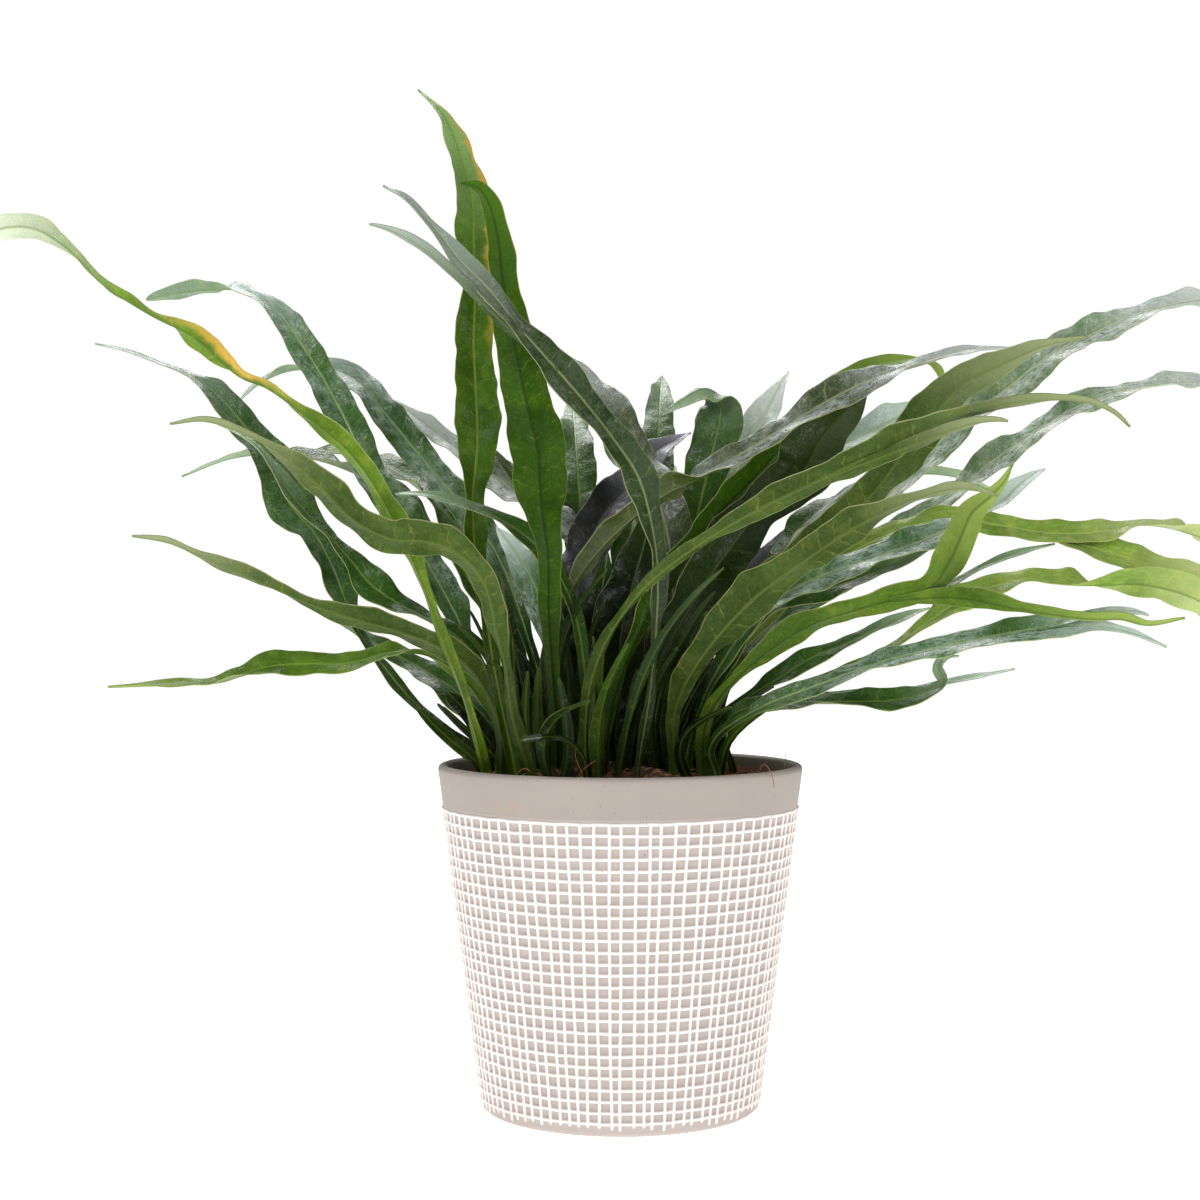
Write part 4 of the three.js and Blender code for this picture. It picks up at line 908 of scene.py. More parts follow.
# %% Traced fronds
# Name, foot on the soil in mm, then rows of [across px, down px, depth mm, turn, width mm]
FRONDS = [
    ["left_long_yellow", [-54, -28], [
      [470, 715, -42, 150, 4], [443, 640, -58, 150, 4.5], [421, 582, -64, 145, 6],
      [410, 556, -66, 140, 9], [376, 490, -66, 150, 10], [345, 450, -66, 150, 9],
      [300, 414, -64, 122, 8], [268, 391, -62, 115, 9], [240, 379, -60, 98, 8],
      [195, 341, -57, 150, 11], [150, 317, -54, 100, 7], [102, 286, -50, 105, 7],
      [80, 263, -47, 130, 8], [60, 246, -44, 145, 7.5], [35, 232, -41, 150, 10],
      [5, 231, -38, 155, 10], [-40, 250, -32, 150, 8], [-82, 285, -26, 130, 1.5],
    ]],
    ["left_arch", [-44, 4], [
      [497, 705, 10, 40, 4], [468, 645, 20, 45, 6], [443, 597, 28, 45, 17], [408, 535, 38, 35, 18],
      [371, 478, 48, 20, 16], [341, 415, 58, 10, 16], [308, 358, 66, 15, 14], [275, 315, 72, 40, 13],
      [243, 294, 74, 60, 14], [212, 293, 74, 118, 13], [175, 297, 72, 130, 9],
      [146, 303, 70, 125, 4],
    ]],
    ["left_broad", [-56, 6], [
      [440, 730, 14, 50, 4], [408, 702, 20, 50, 4.5], [385, 674, 26, 50, 5], [360, 640, 33, 55, 8],
      [345, 607, 38, 50, 11], [333, 575, 43, 45, 18], [315, 539, 48, 30, 17.5],
      [289, 506, 52, 15, 21.5], [276, 469, 56, 20, 19], [247, 433, 60, 25, 14.5],
      [214, 397, 64, 45, 12], [184, 377, 67, 60, 8], [158, 366, 68, 65, 4], [125, 354, 70, 65, 3],
      [95, 347, 72, 60, 1.5],
    ]],
    ["left_curved", [-36, -40], [
      [512, 720, -44, 150, 4], [507, 670, -50, 140, 5], [497, 640, -56, 140, 8],
      [491, 606, -64, 145, 11], [482, 582, -70, 155, 11.5], [457, 556, -78, 150, 14],
      [428, 545, -84, 150, 14], [388, 541, -90, 140, 17], [352, 522, -94, 150, 14.5],
      [322, 492, -98, 145, 12.5], [285, 460, -100, 130, 9], [245, 437, -102, 115, 6.5],
      [205, 424, -103, 110, 4.5], [170, 427, -103, 100, 1.5],
    ]],
    ["left_straight", [-48, -20], [
      [500, 720, -22, 140, 4], [484, 690, -26, 140, 7], [468, 667, -32, 140, 10],
      [440, 650, -40, 140, 13], [400, 635, -48, 145, 12.5], [360, 624, -56, 140, 11],
      [320, 611, -64, 135, 8.5], [280, 594, -71, 130, 8], [240, 576, -77, 125, 8],
      [200, 559, -82, 120, 6.5], [170, 546, -86, 115, 6], [132, 539, -88, 110, 2],
    ]],
    ["left_low", [-49, -14], [
      [497, 730, -14, 130, 4], [478, 698, -16, 140, 4.5], [455, 670, -20, 140, 8],
      [420, 655, -24, 120, 6.5], [390, 657, -28, 60, 10], [350, 667, -33, 35, 11.5],
      [310, 668, -37, 40, 11], [270, 671, -40, 50, 12], [240, 679, -42, 60, 13],
      [220, 685, -43, 65, 12], [190, 687, -43, 75, 8], [108, 690, -44, 80, 1.5],
    ]],
    ["left_twisted", [-50, -4], [
      [498, 712, -2, 60, 4], [472, 655, 2, 60, 6], [440, 630, 6, 60, 11], [400, 609, 10, 50, 13],
      [371, 589, 13, 30, 14], [347, 561, 16, 45, 11], [322, 533, 19, 65, 9], [300, 511, 21, 70, 9],
      [279, 483, 23, 60, 10], [258, 452, 25, 65, 6], [238, 437, 26, 70, 4], [218, 427, 27, 80, 1.5],
    ]],
    ["left_lower_broad", [-40, 16], [
      [496, 735, 20, 50, 5.5], [477, 713, 27, 40, 18], [457, 696, 33, 35, 18],
      [433, 679, 42, 30, 15], [402, 662, 52, 40, 9], [365, 642, 62, 55, 8], [325, 617, 72, 70, 1.5],
    ]],
    ["left_glossy", [-30, 24], [
      [540, 690, 34, 30, 4], [520, 620, 46, 25, 8], [498, 562, 58, 20, 15], [470, 519, 68, 20, 14],
      [441, 484, 76, 15, 14], [413, 451, 84, 15, 15], [384, 416, 92, 20, 15], [361, 388, 98, 40, 17],
      [335, 375, 104, 60, 15], [293, 373, 108, 80, 12], [262, 385, 110, 70, 9],
      [240, 403, 111, 60, 2],
    ]],
    ["left_grey", [8, 36], [
      [632, 660, 48, 40, 4], [612, 588, 62, 45, 9], [575, 541, 76, 50, 14], [525, 503, 90, 45, 20],
      [470, 463, 106, 40, 15], [430, 432, 118, 40, 11], [388, 401, 130, 50, 2],
    ]],
    ["tall_back", [-42, -32], [
      [503, 720, -31, 20, 4], [492, 665, -28, 30, 4], [484, 615, -23, 40, 5.5],
      [476, 577, -18, 30, 9.5], [472, 530, -10, 50, 11], [472, 495, -3, 35, 12],
      [477, 450, 4, 10, 17.5], [476, 405, 12, 10, 19.5], [473, 350, 20, 20, 17],
      [474, 300, 28, 30, 15.5], [473, 250, 36, 25, 17], [472, 205, 44, 20, 16],
      [461, 160, 52, 25, 13], [443, 120, 60, 50, 7], [418, 93, 68, 60, 1.5],
    ]],
    ["tall_front", [-25, -26], [
      [556, 715, -29, 170, 4.5], [551, 655, -34, 165, 6], [549, 620, -37, 165, 8.5],
      [549, 588, -40, 165, 10.5], [548, 555, -44, 165, 11], [543, 520, -48, 172, 15],
      [540, 485, -52, 178, 22], [538, 455, -55, 178, 23], [530, 420, -59, 175, 21],
      [520, 375, -64, 175, 16.5], [511, 330, -69, 170, 15.5], [503, 285, -73, 165, 11.5],
      [498, 240, -77, 160, 9.5], [489, 207, -80, 145, 8.5], [478, 191, -81, 130, 6],
      [460, 186, -82, 125, 1.5],
    ]],
    ["long_diagonal", [6, -36], [
      [648, 700, -42, 60, 4], [655, 630, -50, 50, 5.5], [656, 570, -58, 50, 10],
      [650, 525, -65, 40, 13], [637, 480, -71, 30, 13], [612, 442, -77, 30, 14],
      [584, 406, -82, 30, 14], [552, 369, -86, 30, 13], [520, 333, -89, 30, 9.5],
      [488, 293, -91, 30, 9], [458, 262, -93, 30, 8.5], [430, 228, -95, 40, 5],
      [405, 202, -96, 60, 5], [383, 189, -97, 75, 2],
    ]],
    ["centre_pale", [12, 10], [
      [668, 650, 20, 30, 7], [672, 590, 28, 30, 17], [666, 535, 38, 20, 21], [652, 490, 48, 10, 21],
      [629, 455, 58, 10, 19], [610, 418, 67, 15, 19.5], [585, 387, 76, 25, 15.5],
      [557, 360, 84, 40, 8], [530, 333, 92, 50, 1.5],
    ]],
    ["centre_thin", [-14, -14], [
      [585, 690, -18, 40, 4], [572, 610, -22, 40, 8], [545, 560, -26, 50, 10],
      [510, 530, -27, 50, 10], [470, 510, -27, 50, 8], [432, 499, -27, 60, 5],
      [395, 497, -27, 70, 1.5],
    ]],
    ["centre_mint", [-10, 20], [
      [566, 690, 25, 20, 9], [548, 625, 32, 15, 15], [530, 580, 44, 10, 14.5],
      [513, 552, 52, 15, 10], [496, 530, 60, 30, 1.5],
    ]],
    ["centre_small", [-2, 28], [
      [575, 620, 38, 30, 5], [548, 545, 50, 30, 7], [520, 492, 62, 40, 7], [503, 466, 70, 40, 5],
      [488, 448, 76, 50, 1.5],
    ]],
    ["centre_dark", [-16, 34], [
      [576, 610, 54, 20, 20], [586, 560, 64, 15, 22], [602, 521, 68, 10, 21], [631, 488, 82, 15, 18],
      [655, 456, 88, 30, 17], [672, 446, 92, 40, 8], [691, 436, 95, 60, 1.5],
    ]],
    ["long_right", [-28, -4], [
      [546, 690, -8, 140, 4], [552, 640, -12, 140, 4], [568, 597, -16, 130, 6.5],
      [595, 557, -20, 125, 10.5], [632, 521, -24, 130, 16], [668, 495, -27, 120, 16],
      [705, 478, -29, 60, 14], [745, 456, -30, 50, 10.5], [790, 428, -30, 40, 13.5],
      [835, 401, -29, 30, 15], [880, 380, -27, 45, 12.5], [920, 368, -25, 60, 9],
      [960, 356, -22, 65, 7], [1000, 352, -20, 75, 5], [1040, 357, -18, 80, 1.5],
    ]],
    ["top_folded", [4, 24], [
      [662, 690, 32, 30, 5], [682, 600, 44, 25, 16], [698, 520, 56, 15, 20],
      [710, 465, 66, 10, 20.5], [720, 425, 70, 10, 21.5], [721, 402, 71, 40, 19],
      [705, 392, 66, 105, 13], [684, 402, 60, 125, 9.5], [659, 419, 54, 120, 1.5],
    ]],
    ["top_back", [14, 34], [
      [680, 660, 50, 40, 5], [712, 560, 74, 35, 14], [736, 480, 96, 30, 14],
      [757, 432, 104, 20, 16.5], [768, 412, 109, 20, 13.5], [777, 395, 114, 30, 7.5],
      [789, 375, 120, 50, 2],
    ]],
    ["dark_broad", [4, -10], [
      [640, 710, -11, 150, 4.5], [662, 660, -12, 150, 10], [697, 600, -13, 160, 21],
      [731, 550, -14, 165, 23], [766, 507, -15, 170, 20], [803, 475, -16, 172, 25],
      [822, 440, -16, 172, 24], [849, 410, -16, 168, 16], [870, 388, -16, 155, 2],
    ]],
    ["lime_hook", [10, 0], [
      [680, 640, 8, 60, 4], [740, 540, 16, 60, 10], [790, 465, 22, 55, 13], [818, 415, 25, 45, 14],
      [839, 388, 28, 40, 15], [865, 374, 29, 50, 10.5], [892, 366, 28, 60, 8], [918, 364, 26, 60, 5],
      [934, 370, 22, 50, 6.5], [940, 385, 18, 50, 6], [937, 397, 15, 60, 1.5],
    ]],
    ["right_broad", [18, -8], [
      [672, 705, -12, 150, 4], [702, 655, -18, 150, 5], [748, 597, -24, 150, 11],
      [795, 560, -30, 150, 13], [838, 528, -35, 150, 13.5], [873, 496, -39, 155, 16.5],
      [902, 458, -42, 165, 19], [930, 423, -45, 165, 19.5], [962, 388, -47, 160, 17.5],
      [1003, 367, -48, 150, 11], [1042, 350, -48, 130, 6], [1088, 340, -48, 115, 1.5],
    ]],
    ["right_far", [22, 8], [
      [700, 690, 14, 50, 4], [765, 613, 25, 50, 5], [830, 548, 32, 45, 11], [880, 507, 40, 40, 15],
      [923, 465, 47, 40, 17.5], [960, 427, 54, 35, 17], [1007, 393, 60, 35, 17.5],
      [1051, 359, 66, 35, 18], [1097, 336, 72, 40, 15.5], [1143, 317, 78, 45, 14.5],
      [1195, 305, 84, 55, 13], [1240, 303, 89, 65, 8], [1285, 312, 93, 80, 1.5],
    ]],
    ["front_long", [-14, -40], [
      [585, 715, -48, 140, 4], [596, 665, -57, 140, 4.5], [617, 625, -66, 140, 5],
      [650, 585, -76, 140, 5.5], [700, 547, -86, 145, 7], [757, 513, -95, 150, 9.5],
      [805, 490, -102, 150, 11.5], [860, 464, -109, 150, 12.5], [915, 438, -115, 145, 11],
      [970, 415, -120, 135, 7.5], [1030, 404, -124, 115, 5], [1083, 404, -127, 105, 5],
      [1112, 415, -128, 100, 4], [1130, 430, -128, 100, 1.5],
    ]],
    ["front_broad", [22, -24], [
      [672, 720, -30, 150, 5.5], [687, 682, -38, 150, 11.5], [717, 640, -48, 155, 16.5],
      [757, 599, -58, 160, 18], [800, 567, -67, 155, 16], [846, 536, -75, 150, 14],
      [892, 511, -82, 140, 10], [930, 497, -87, 125, 7.5], [965, 491, -91, 115, 6],
      [998, 499, -94, 105, 1.5],
    ]],
    ["forked_bright", [33, -22], [
      [705, 722, -28, 150, 4], [735, 682, -36, 150, 6], [768, 654, -44, 150, 10],
      [808, 629, -52, 152, 12], [852, 614, -59, 150, 11], [895, 602, -65, 155, 10],
      [931, 590, -68, 165, 10], [951, 562, -70, 172, 14.5], [961, 540, -71, 175, 14],
      [972, 516, -72, 175, 10], [990, 500, -73, 170, 6.5], [1004, 485, -73, 150, 4],
      [1013, 467, -73, 130, 1.5],
    ]],
    ["bright_low", [40, -2], [
      [738, 722, 0, 60, 5.5], [790, 695, 2, 60, 4], [850, 672, 4, 70, 4], [885, 655, 5, 70, 6],
      [925, 629, 6, 50, 9], [955, 608, 6, 45, 12], [990, 592, 6, 50, 14], [1025, 583, 4, 50, 13.5],
      [1062, 587, 2, 65, 15], [1100, 588, 0, 115, 15], [1145, 588, -4, 140, 14],
      [1195, 602, -8, 150, 18], [1240, 630, -11, 150, 13], [1275, 662, -13, 130, 1.5],
    ]],
    ["bright_upper", [38, 10], [
      [715, 690, 17, 60, 4], [760, 633, 14, 60, 6], [820, 578, 14, 55, 10.5], [878, 543, 15, 50, 13],
      [925, 527, 16, 50, 14], [970, 525, 16, 35, 11], [1005, 530, 16, 25, 11],
      [1040, 536, 13, 20, 12], [1075, 538, 10, 40, 11], [1110, 535, 7, 50, 11],
      [1140, 528, 4, 60, 9], [1170, 531, 0, 60, 12], [1200, 540, -3, 120, 13],
      [1250, 560, -6, 140, 1.5],
    ]],
    ["low_fork", [38, -30], [
      [707, 745, -34, 50, 5], [735, 727, -38, 50, 6.5], [765, 709, -42, 50, 7.5],
      [800, 696, -46, 45, 9], [835, 683, -50, 40, 9.5], [880, 667, -54, 55, 10.5],
      [918, 657, -57, 60, 9.5], [955, 648, -59, 40, 12], [1000, 639, -60, 35, 11],
      [1045, 632, -61, 40, 11], [1090, 630, -61, 45, 9], [1130, 637, -61, 60, 6],
      [1167, 650, -61, 75, 2],
    ]],
    ["low_curl", [46, -14], [
      [722, 722, -16, 60, 5], [760, 709, -18, 60, 9], [800, 706, -19, 60, 11.5],
      [845, 706, -20, 60, 11], [890, 705, -20, 55, 12], [925, 697, -20, 50, 9.5],
      [944, 685, -20, 45, 6], [939, 671, -19, 50, 5.5], [945, 662, -17, 60, 5],
      [959, 659, -15, 70, 1.5],
    ]],
    ["low_thin", [42, 8], [
      [755, 710, 9, 70, 5], [800, 704, 10, 65, 7.5], [860, 699, 12, 65, 6], [915, 692, 14, 70, 6],
      [965, 683, 16, 70, 4.5], [1015, 672, 18, 80, 1.5],
    ]],
    ["low_twist", [32, 2], [
      [718, 720, 0, 60, 5], [748, 701, -2, 60, 8], [778, 684, -4, 55, 11], [808, 664, -5, 50, 10],
      [848, 647, -6, 55, 10], [882, 631, -7, 60, 8], [912, 618, -8, 65, 5], [930, 611, -8, 80, 1.5],
    ]],
    ["mid_blue", [27, -10], [
      [700, 712, -12, 50, 5], [727, 660, -16, 50, 8], [755, 622, -18, 45, 11],
      [790, 595, -16, 40, 13], [835, 575, -12, 40, 14], [880, 560, -8, 45, 14.5],
      [925, 544, -4, 50, 14], [965, 525, 0, 55, 12], [1000, 507, 3, 50, 9], [1020, 488, 5, 45, 8],
      [1045, 472, 8, 55, 2],
    ]],
    ["mid_blue_back", [34, 16], [
      [725, 690, 22, 50, 5], [760, 640, 30, 50, 10], [800, 608, 36, 45, 13], [845, 586, 41, 40, 14],
      [890, 565, 46, 45, 12], [930, 547, 50, 55, 8], [965, 530, 54, 65, 2],
    ]],
    ["right_pale", [26, 24], [
      [710, 690, 34, 50, 4], [770, 622, 48, 50, 6], [840, 567, 62, 45, 11], [900, 532, 74, 45, 12],
      [948, 503, 84, 45, 9], [989, 468, 92, 30, 16], [1022, 445, 99, 40, 12],
      [1072, 414, 106, 45, 14], [1120, 396, 112, 50, 12], [1165, 388, 118, 60, 13],
      [1210, 386, 124, 65, 12], [1255, 390, 130, 75, 6], [1285, 397, 134, 85, 1.5],
    ]],
    ["right_gloss", [16, 16], [
      [690, 650, 30, 60, 5], [726, 562, 46, 55, 11], [772, 500, 58, 50, 12], [826, 460, 68, 40, 13],
      [868, 436, 76, 30, 16], [905, 418, 82, 40, 13], [942, 402, 88, 60, 2],
    ]],
    ["back_purple", [27, 38], [
      [706, 640, 60, 30, 14], [738, 592, 68, 20, 14], [768, 562, 78, 15, 13], [792, 540, 88, 20, 10],
      [801, 529, 94, 30, 7], [809, 519, 98, 40, 1.5],
    ]],
    ["small_curl", [-28, -50], [
      [541, 752, -53, 150, 5], [548, 728, -57, 140, 7], [565, 712, -62, 120, 6],
      [597, 703, -68, 110, 1.5],
    ]],
    ["small_front", [-14, -54], [
      [580, 752, -56, 60, 4.5], [562, 738, -59, 60, 5], [538, 741, -62, 60, 4],
      [513, 746, -64, 70, 1.5],
    ]],
    ["centre_green", [-6, -24], [
      [608, 720, -25, 140, 4], [622, 675, -26, 140, 6], [643, 625, -20, 145, 10],
      [668, 580, -8, 150, 11.5], [695, 545, 0, 150, 12], [722, 513, 2, 150, 12],
      [748, 487, 4, 150, 13], [770, 463, 6, 150, 14], [790, 438, 8, 150, 9],
      [806, 418, 12, 140, 1.5],
    ]],
    ["right_under", [25, -1], [
      [693, 740, -2, 60, 4.5], [715, 690, -3, 50, 6], [745, 640, -4, 45, 9], [775, 608, -2, 40, 11],
      [830, 592, 2, 40, 12], [885, 572, 6, 45, 10], [925, 550, 8, 50, 7], [960, 532, 10, 60, 1.5],
    ]],
    ["right_thin", [30, 9], [
      [715, 705, 4, 60, 4], [762, 650, 6, 60, 5], [825, 618, 10, 60, 5], [885, 604, 12, 60, 5],
      [945, 590, 12, 55, 5], [985, 570, 11, 55, 5], [1018, 557, 10, 60, 4.5],
      [1055, 547, 9, 70, 1.5],
    ]],
    ["centre_deep", [0, 2], [
      [614, 738, 4, 15, 9], [622, 698, 7, 12, 19], [620, 640, 11, 10, 24], [632, 590, 15, 10, 22],
      [645, 545, 19, 15, 15], [655, 505, 22, 20, 1.5],
    ]],
    ["centre_left_deep", [-22, 10], [
      [562, 735, 13, 15, 8], [575, 690, 15, 12, 20], [592, 640, 18, 10, 20], [602, 595, 22, 15, 13],
      [608, 555, 26, 20, 1.5],
    ]],
    ["left_inner", [-36, -4], [
      [530, 745, 0, 20, 7], [524, 700, 2, 20, 7], [513, 650, 5, 20, 6], [505, 610, 8, 25, 5],
      [499, 575, 11, 30, 1.5],
    ]],
    ["left_foot", [-50, 8], [
      [492, 752, 12, 35, 8], [478, 730, 16, 30, 11], [464, 712, 20, 35, 9], [440, 692, 24, 45, 1.5],
    ]],
]

# Second prongs of forked fronds: frond, where it leaves (0 foot, 1 tip), trace
FORKS = [
    ["long_diagonal", 0.66, [
      [500, 322, -90, 140, 6], [460, 284, -94, 130, 6], [425, 252, -97, 125, 5.5],
      [395, 235, -99, 120, 4], [368, 227, -100, 110, 1.5],
    ]],
    ["front_long", 0.6, [
      [910, 449, -114, 140, 6], [955, 431, -118, 130, 6], [985, 422, -121, 115, 5],
      [1013, 425, -124, 105, 1.5],
    ]],
    ["forked_bright", 0.63, [
      [965, 600, -71, 150, 9], [1000, 609, -72, 135, 9], [1045, 616, -73, 125, 7],
      [1090, 622, -74, 115, 6], [1122, 622, -74, 120, 6], [1148, 628, -74, 120, 5],
      [1185, 621, -74, 110, 1.5],
    ]],
    ["bright_upper", 0.7, [
      [1080, 549, 8, 40, 12], [1115, 558, 5, 35, 14.5], [1150, 569, 3, 35, 12],
      [1195, 577, -1, 50, 12.5], [1235, 590, -4, 60, 1.5],
    ]],
    ["low_fork", 0.76, [
      [1085, 620, -61, 50, 4.5], [1115, 612, -61, 50, 4], [1135, 614, -61, 60, 4],
      [1157, 621, -61, 70, 1.5],
    ]],
]
print("traced fronds:", len(FRONDS), "and", len(FORKS), "second prongs")

# %% Fronds by rule for the far side
# Name, foot, greatest width, then the way it goes: heading and climb in degrees at the foot,
# length, the climb at the tip and the swing sideways
RULED_FRONDS = [
    ["rear_left_low", [-40, 40], 17, [150, 78, 250, -25, 12]],
    ["rear_left", [-32, 46], 20, [132, 72, 265, -20, 10]],
    ["rear_left_high", [-12, 52], 18, [99, 78, 235, 10, -8]],
    ["rear_middle", [0, 54], 21, [86, 74, 260, -25, -10]],
    ["rear_middle_high", [12, 50], 17, [80, 85, 230, 15, 8]],
    ["rear_right", [26, 48], 20, [66, 70, 265, -22, 10]],
    ["rear_right_low", [36, 38], 16, [40, 76, 240, -25, -14]],
]
print("fronds by rule:", len(RULED_FRONDS))

# %% Lines of the traced fronds
STALK_WIDTH = 3.4
FOOT_SUNK, FOOT_STRAIGHT = 4.6, 4.0


def seen(across, down, depth):
    """The point that the eye saw at a pixel, at that depth."""
    reach = (depth - EYE[1]) / FOCAL_PIXELS
    return [EYE[0] + (across - PICTURE_MIDDLE) * reach, depth,
            EYE[2] - (down - PICTURE_MIDDLE) * reach]


def foot_points(foot):
    """A frond's first two points: below the soil, and straight above it."""
    level = soil_level(*foot)
    return [[*foot, level - FOOT_SUNK], [*foot, level + FOOT_STRAIGHT]]


def upper_faces(ways, turns, side):
    """Which way the upper face looks: a turn of 0 faces the eye, 90 up or out, 180 away."""
    across = normalised(np.cross(ways, [0.0, -1.0, 0.0]))
    front = np.cross(across, ways)
    angles = np.radians(turns)[:, None]
    return front * np.cos(angles) + side * across * np.sin(angles)


def traced_line(start, trace):
    """Points, upper faces and widths of a line that begins at start and follows a trace."""
    knots = np.array(start + [seen(*row[:3]) for row in trace], float)
    side = 1 if knots[-1][0] < knots[0][0] else -1
    rows = [trace[0]] * len(start) + trace
    turns, widths = (np.array([row[k] for row in rows], float) for k in (3, 4))
    widths[:len(start)] = np.minimum(STALK_WIDTH, widths[:len(start)])
    ways = ways_at(knots, np.arange(len(knots), dtype=float))
    return knots, upper_faces(ways, turns, side), widths


frond_lines = {name: traced_line(foot_points(foot), trace) for name, foot, trace in FRONDS}
print("left_arch ends at", frond_lines["left_arch"][0][-1].round(0), "mm")

# %% Lines of the fronds by rule
RULED_STEPS = 9
SWELLS_LATE, SWELLS_FULL = 1.3, 0.8
STALK_UNTIL = 0.8
BENDS_LATE = 1.4


def ruled_widths(share, greatest):
    swelling = np.sin(math.pi * np.minimum(1, share**SWELLS_LATE)) ** SWELLS_FULL
    stalk = STALK_WIDTH * (1 - smooth_step(share, STALK_UNTIL, 1))
    return np.maximum(greatest * swelling, stalk)


def ruled_line(foot, greatest, way):
    """Short straight strides that turn sideways evenly and bend over towards the tip."""
    heading, climb, length, climb_at_tip, swing = way
    share = (np.arange(RULED_STEPS) + 0.5) / RULED_STEPS
    turn = np.radians(heading + swing * share)
    rise = np.radians(climb + (climb_at_tip - climb) * share**BENDS_LATE)
    ahead = np.stack([np.cos(turn), np.sin(turn), np.zeros(RULED_STEPS)], axis=-1)
    up = np.array([0.0, 0.0, 1.0])
    strides = ahead * np.cos(rise)[:, None] + up * np.sin(rise)[:, None]
    start = np.array(foot_points(foot))
    knots = np.vstack([start, start[1] + np.cumsum(strides, axis=0) * length / RULED_STEPS])
    normals = up * np.cos(rise)[:, None] - ahead * np.sin(rise)[:, None]
    widths = ruled_widths(np.maximum(np.arange(len(knots)) - 1, 0) / RULED_STEPS, greatest)
    return knots, np.vstack([normals[:1], normals[:1], normals]), widths


for name, foot, greatest, way in RULED_FRONDS:
    frond_lines[name] = ruled_line(foot, greatest, way)
print("frond lines:", len(frond_lines))

# %% [markdown]
# ## The blades
# A real blade is thin and leathery, folded a little at a raised rib, with waved margins and
# soft pillows between its side veins. A flat strip with a thickness modifier would keep none of
# that apart. Here each section has two faces of fifteen points, close together at the rib and
# at the margin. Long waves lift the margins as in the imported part, shorter ones ruffle them,
# and the pillows follow the side veins. Every point carries its place on the blade.

# %% Stations along a blade
STATION_SPACING = 1.7
TIP_STATIONS = (0.12, 0.35, 0.75, 1.2, 2.5)


def blade_stations(knots, spacing):
    """Evenly spaced places and their share of the length, with a few more close to the tip."""
    even, length = even_places(knots, spacing)
    even_share = np.linspace(0, 1, len(even))
    share = np.sort(np.append(even_share, 1 - np.array(TIP_STATIONS) / length))
    return np.interp(share, even_share, even), share, length


arch_length = blade_stations(frond_lines["left_arch"][0], STATION_SPACING)[2]
print(f"left_arch is {arch_length:.0f} mm long")

# %% Frames at the stations
TIP_ROUND, TIP_BLUNT = 5.0, 0.01
EASED_OVER, EASED_LEAST = 10.0, 0.01
EASING_GROWS, EASING_ENDS = (0, 25), (50, 100)
LEAST_HALF_WIDTH = 0.45
STALK_AT_MOST, STALK_FADES = 0.45, (0.25, 0.5)


def rounded_tip(half, remaining):
    """Half widths that close in a round arc over the last millimetres."""
    short = 1 - np.clip(remaining / TIP_ROUND, 0, 1)
    return half * np.sqrt(np.maximum(1 - short**2, TIP_BLUNT))


def eased(centre, along):
    """The line with its bends near the foot eased, while the foot and the blade stay put."""
    near_foot = smooth_step(along, *EASING_GROWS) * (1 - smooth_step(along, *EASING_ENDS))
    span = EASED_OVER * near_foot + EASED_LEAST
    weight = np.exp(-(((along[:, None] - along) / span[:, None]) ** 2))
    return weight @ centre / weight.sum(axis=1, keepdims=True)


def half_widths(widths, place, share, length, stalk):
    """Half widths at the stations, with the winged stalk below and the round tip above."""
    half = np.maximum(widths_through(widths, place) / 2, LEAST_HALF_WIDTH)
    stalk = min(stalk, STALK_AT_MOST * half.max())
    half = np.maximum(half, stalk * (1 - smooth_step(share, *STALK_FADES)))
    return rounded_tip(half, (1 - share) * length)


def blade_frames(line, spacing, stalk):
    """Centre, upper normal, left, half width and share at the stations, and the length."""
    knots, normals, widths = line
    place, share, length = blade_stations(knots, spacing)
    centre = eased(line_through(knots, place), share * length)
    ways = normalised(np.gradient(centre, share * length, axis=0))
    before = np.minimum(np.floor(place).astype(int), len(knots) - 2)
    between = smooth_step(place - before, 0, 1)[:, None]
    normal = normals[before] * (1 - between) + normals[before + 1] * between
    normal = normalised(normal - ways * np.sum(normal * ways, axis=1, keepdims=True))
    half = half_widths(widths, place, share, length, stalk)
    return centre, normal, np.cross(normal, ways), half, share, length


arch_half = blade_frames(frond_lines["left_arch"], STATION_SPACING, 0.0)[3]
print(f"left_arch is up to {2 * arch_half.max():.1f} mm wide")

# %% Shape of a section
FOLD = math.radians(18)
IN_RIB = [0.0, 0.45, 1.0]
IN_WING = [0.22, 0.46, 0.7, 0.93, 1.0]
RIB_HALF, RIB_AT_MOST = 0.75, 0.45
WAVE, WAVE_LENGTH, WAVE_CURVE, SIDES_APART = 0.3, 50.0, 1.3, 2.2
CALM_FROM = 0.85
RUFFLE, RUFFLE_LENGTH, RUFFLE_CURVE, RUFFLES_APART = 0.08, 17.0, 2.5, 1.9
PILLOW, VEIN_PITCH, VEIN_SLANT = 0.2, 7.0, 0.5
BULGE = 0.05
FULL_WING = 6


def rib_half(half):
    """The rib's own half width at each station, in a column."""
    return np.minimum(RIB_HALF, RIB_AT_MOST * half)[:, None]


def section_reach(half):
    """How far each point of a half section lies from the rib, in mm, for every station."""
    rib = rib_half(half)
    return np.hstack([rib * IN_RIB, rib + (half[:, None] - rib) * IN_WING])


def rib_swell(reach, half, size):
    return size * np.exp(-((reach / rib_half(half)) ** 2))


def long_wave(side, half, along, share, start):
    """How far the margin is lifted at each station, calm at the tip."""
    phase = 2 * math.pi * along / WAVE_LENGTH + start + (SIDES_APART if side < 0 else 0)
    return WAVE * half * (1 - smooth_step(share, CALM_FROM, 1)) * np.sin(phase)


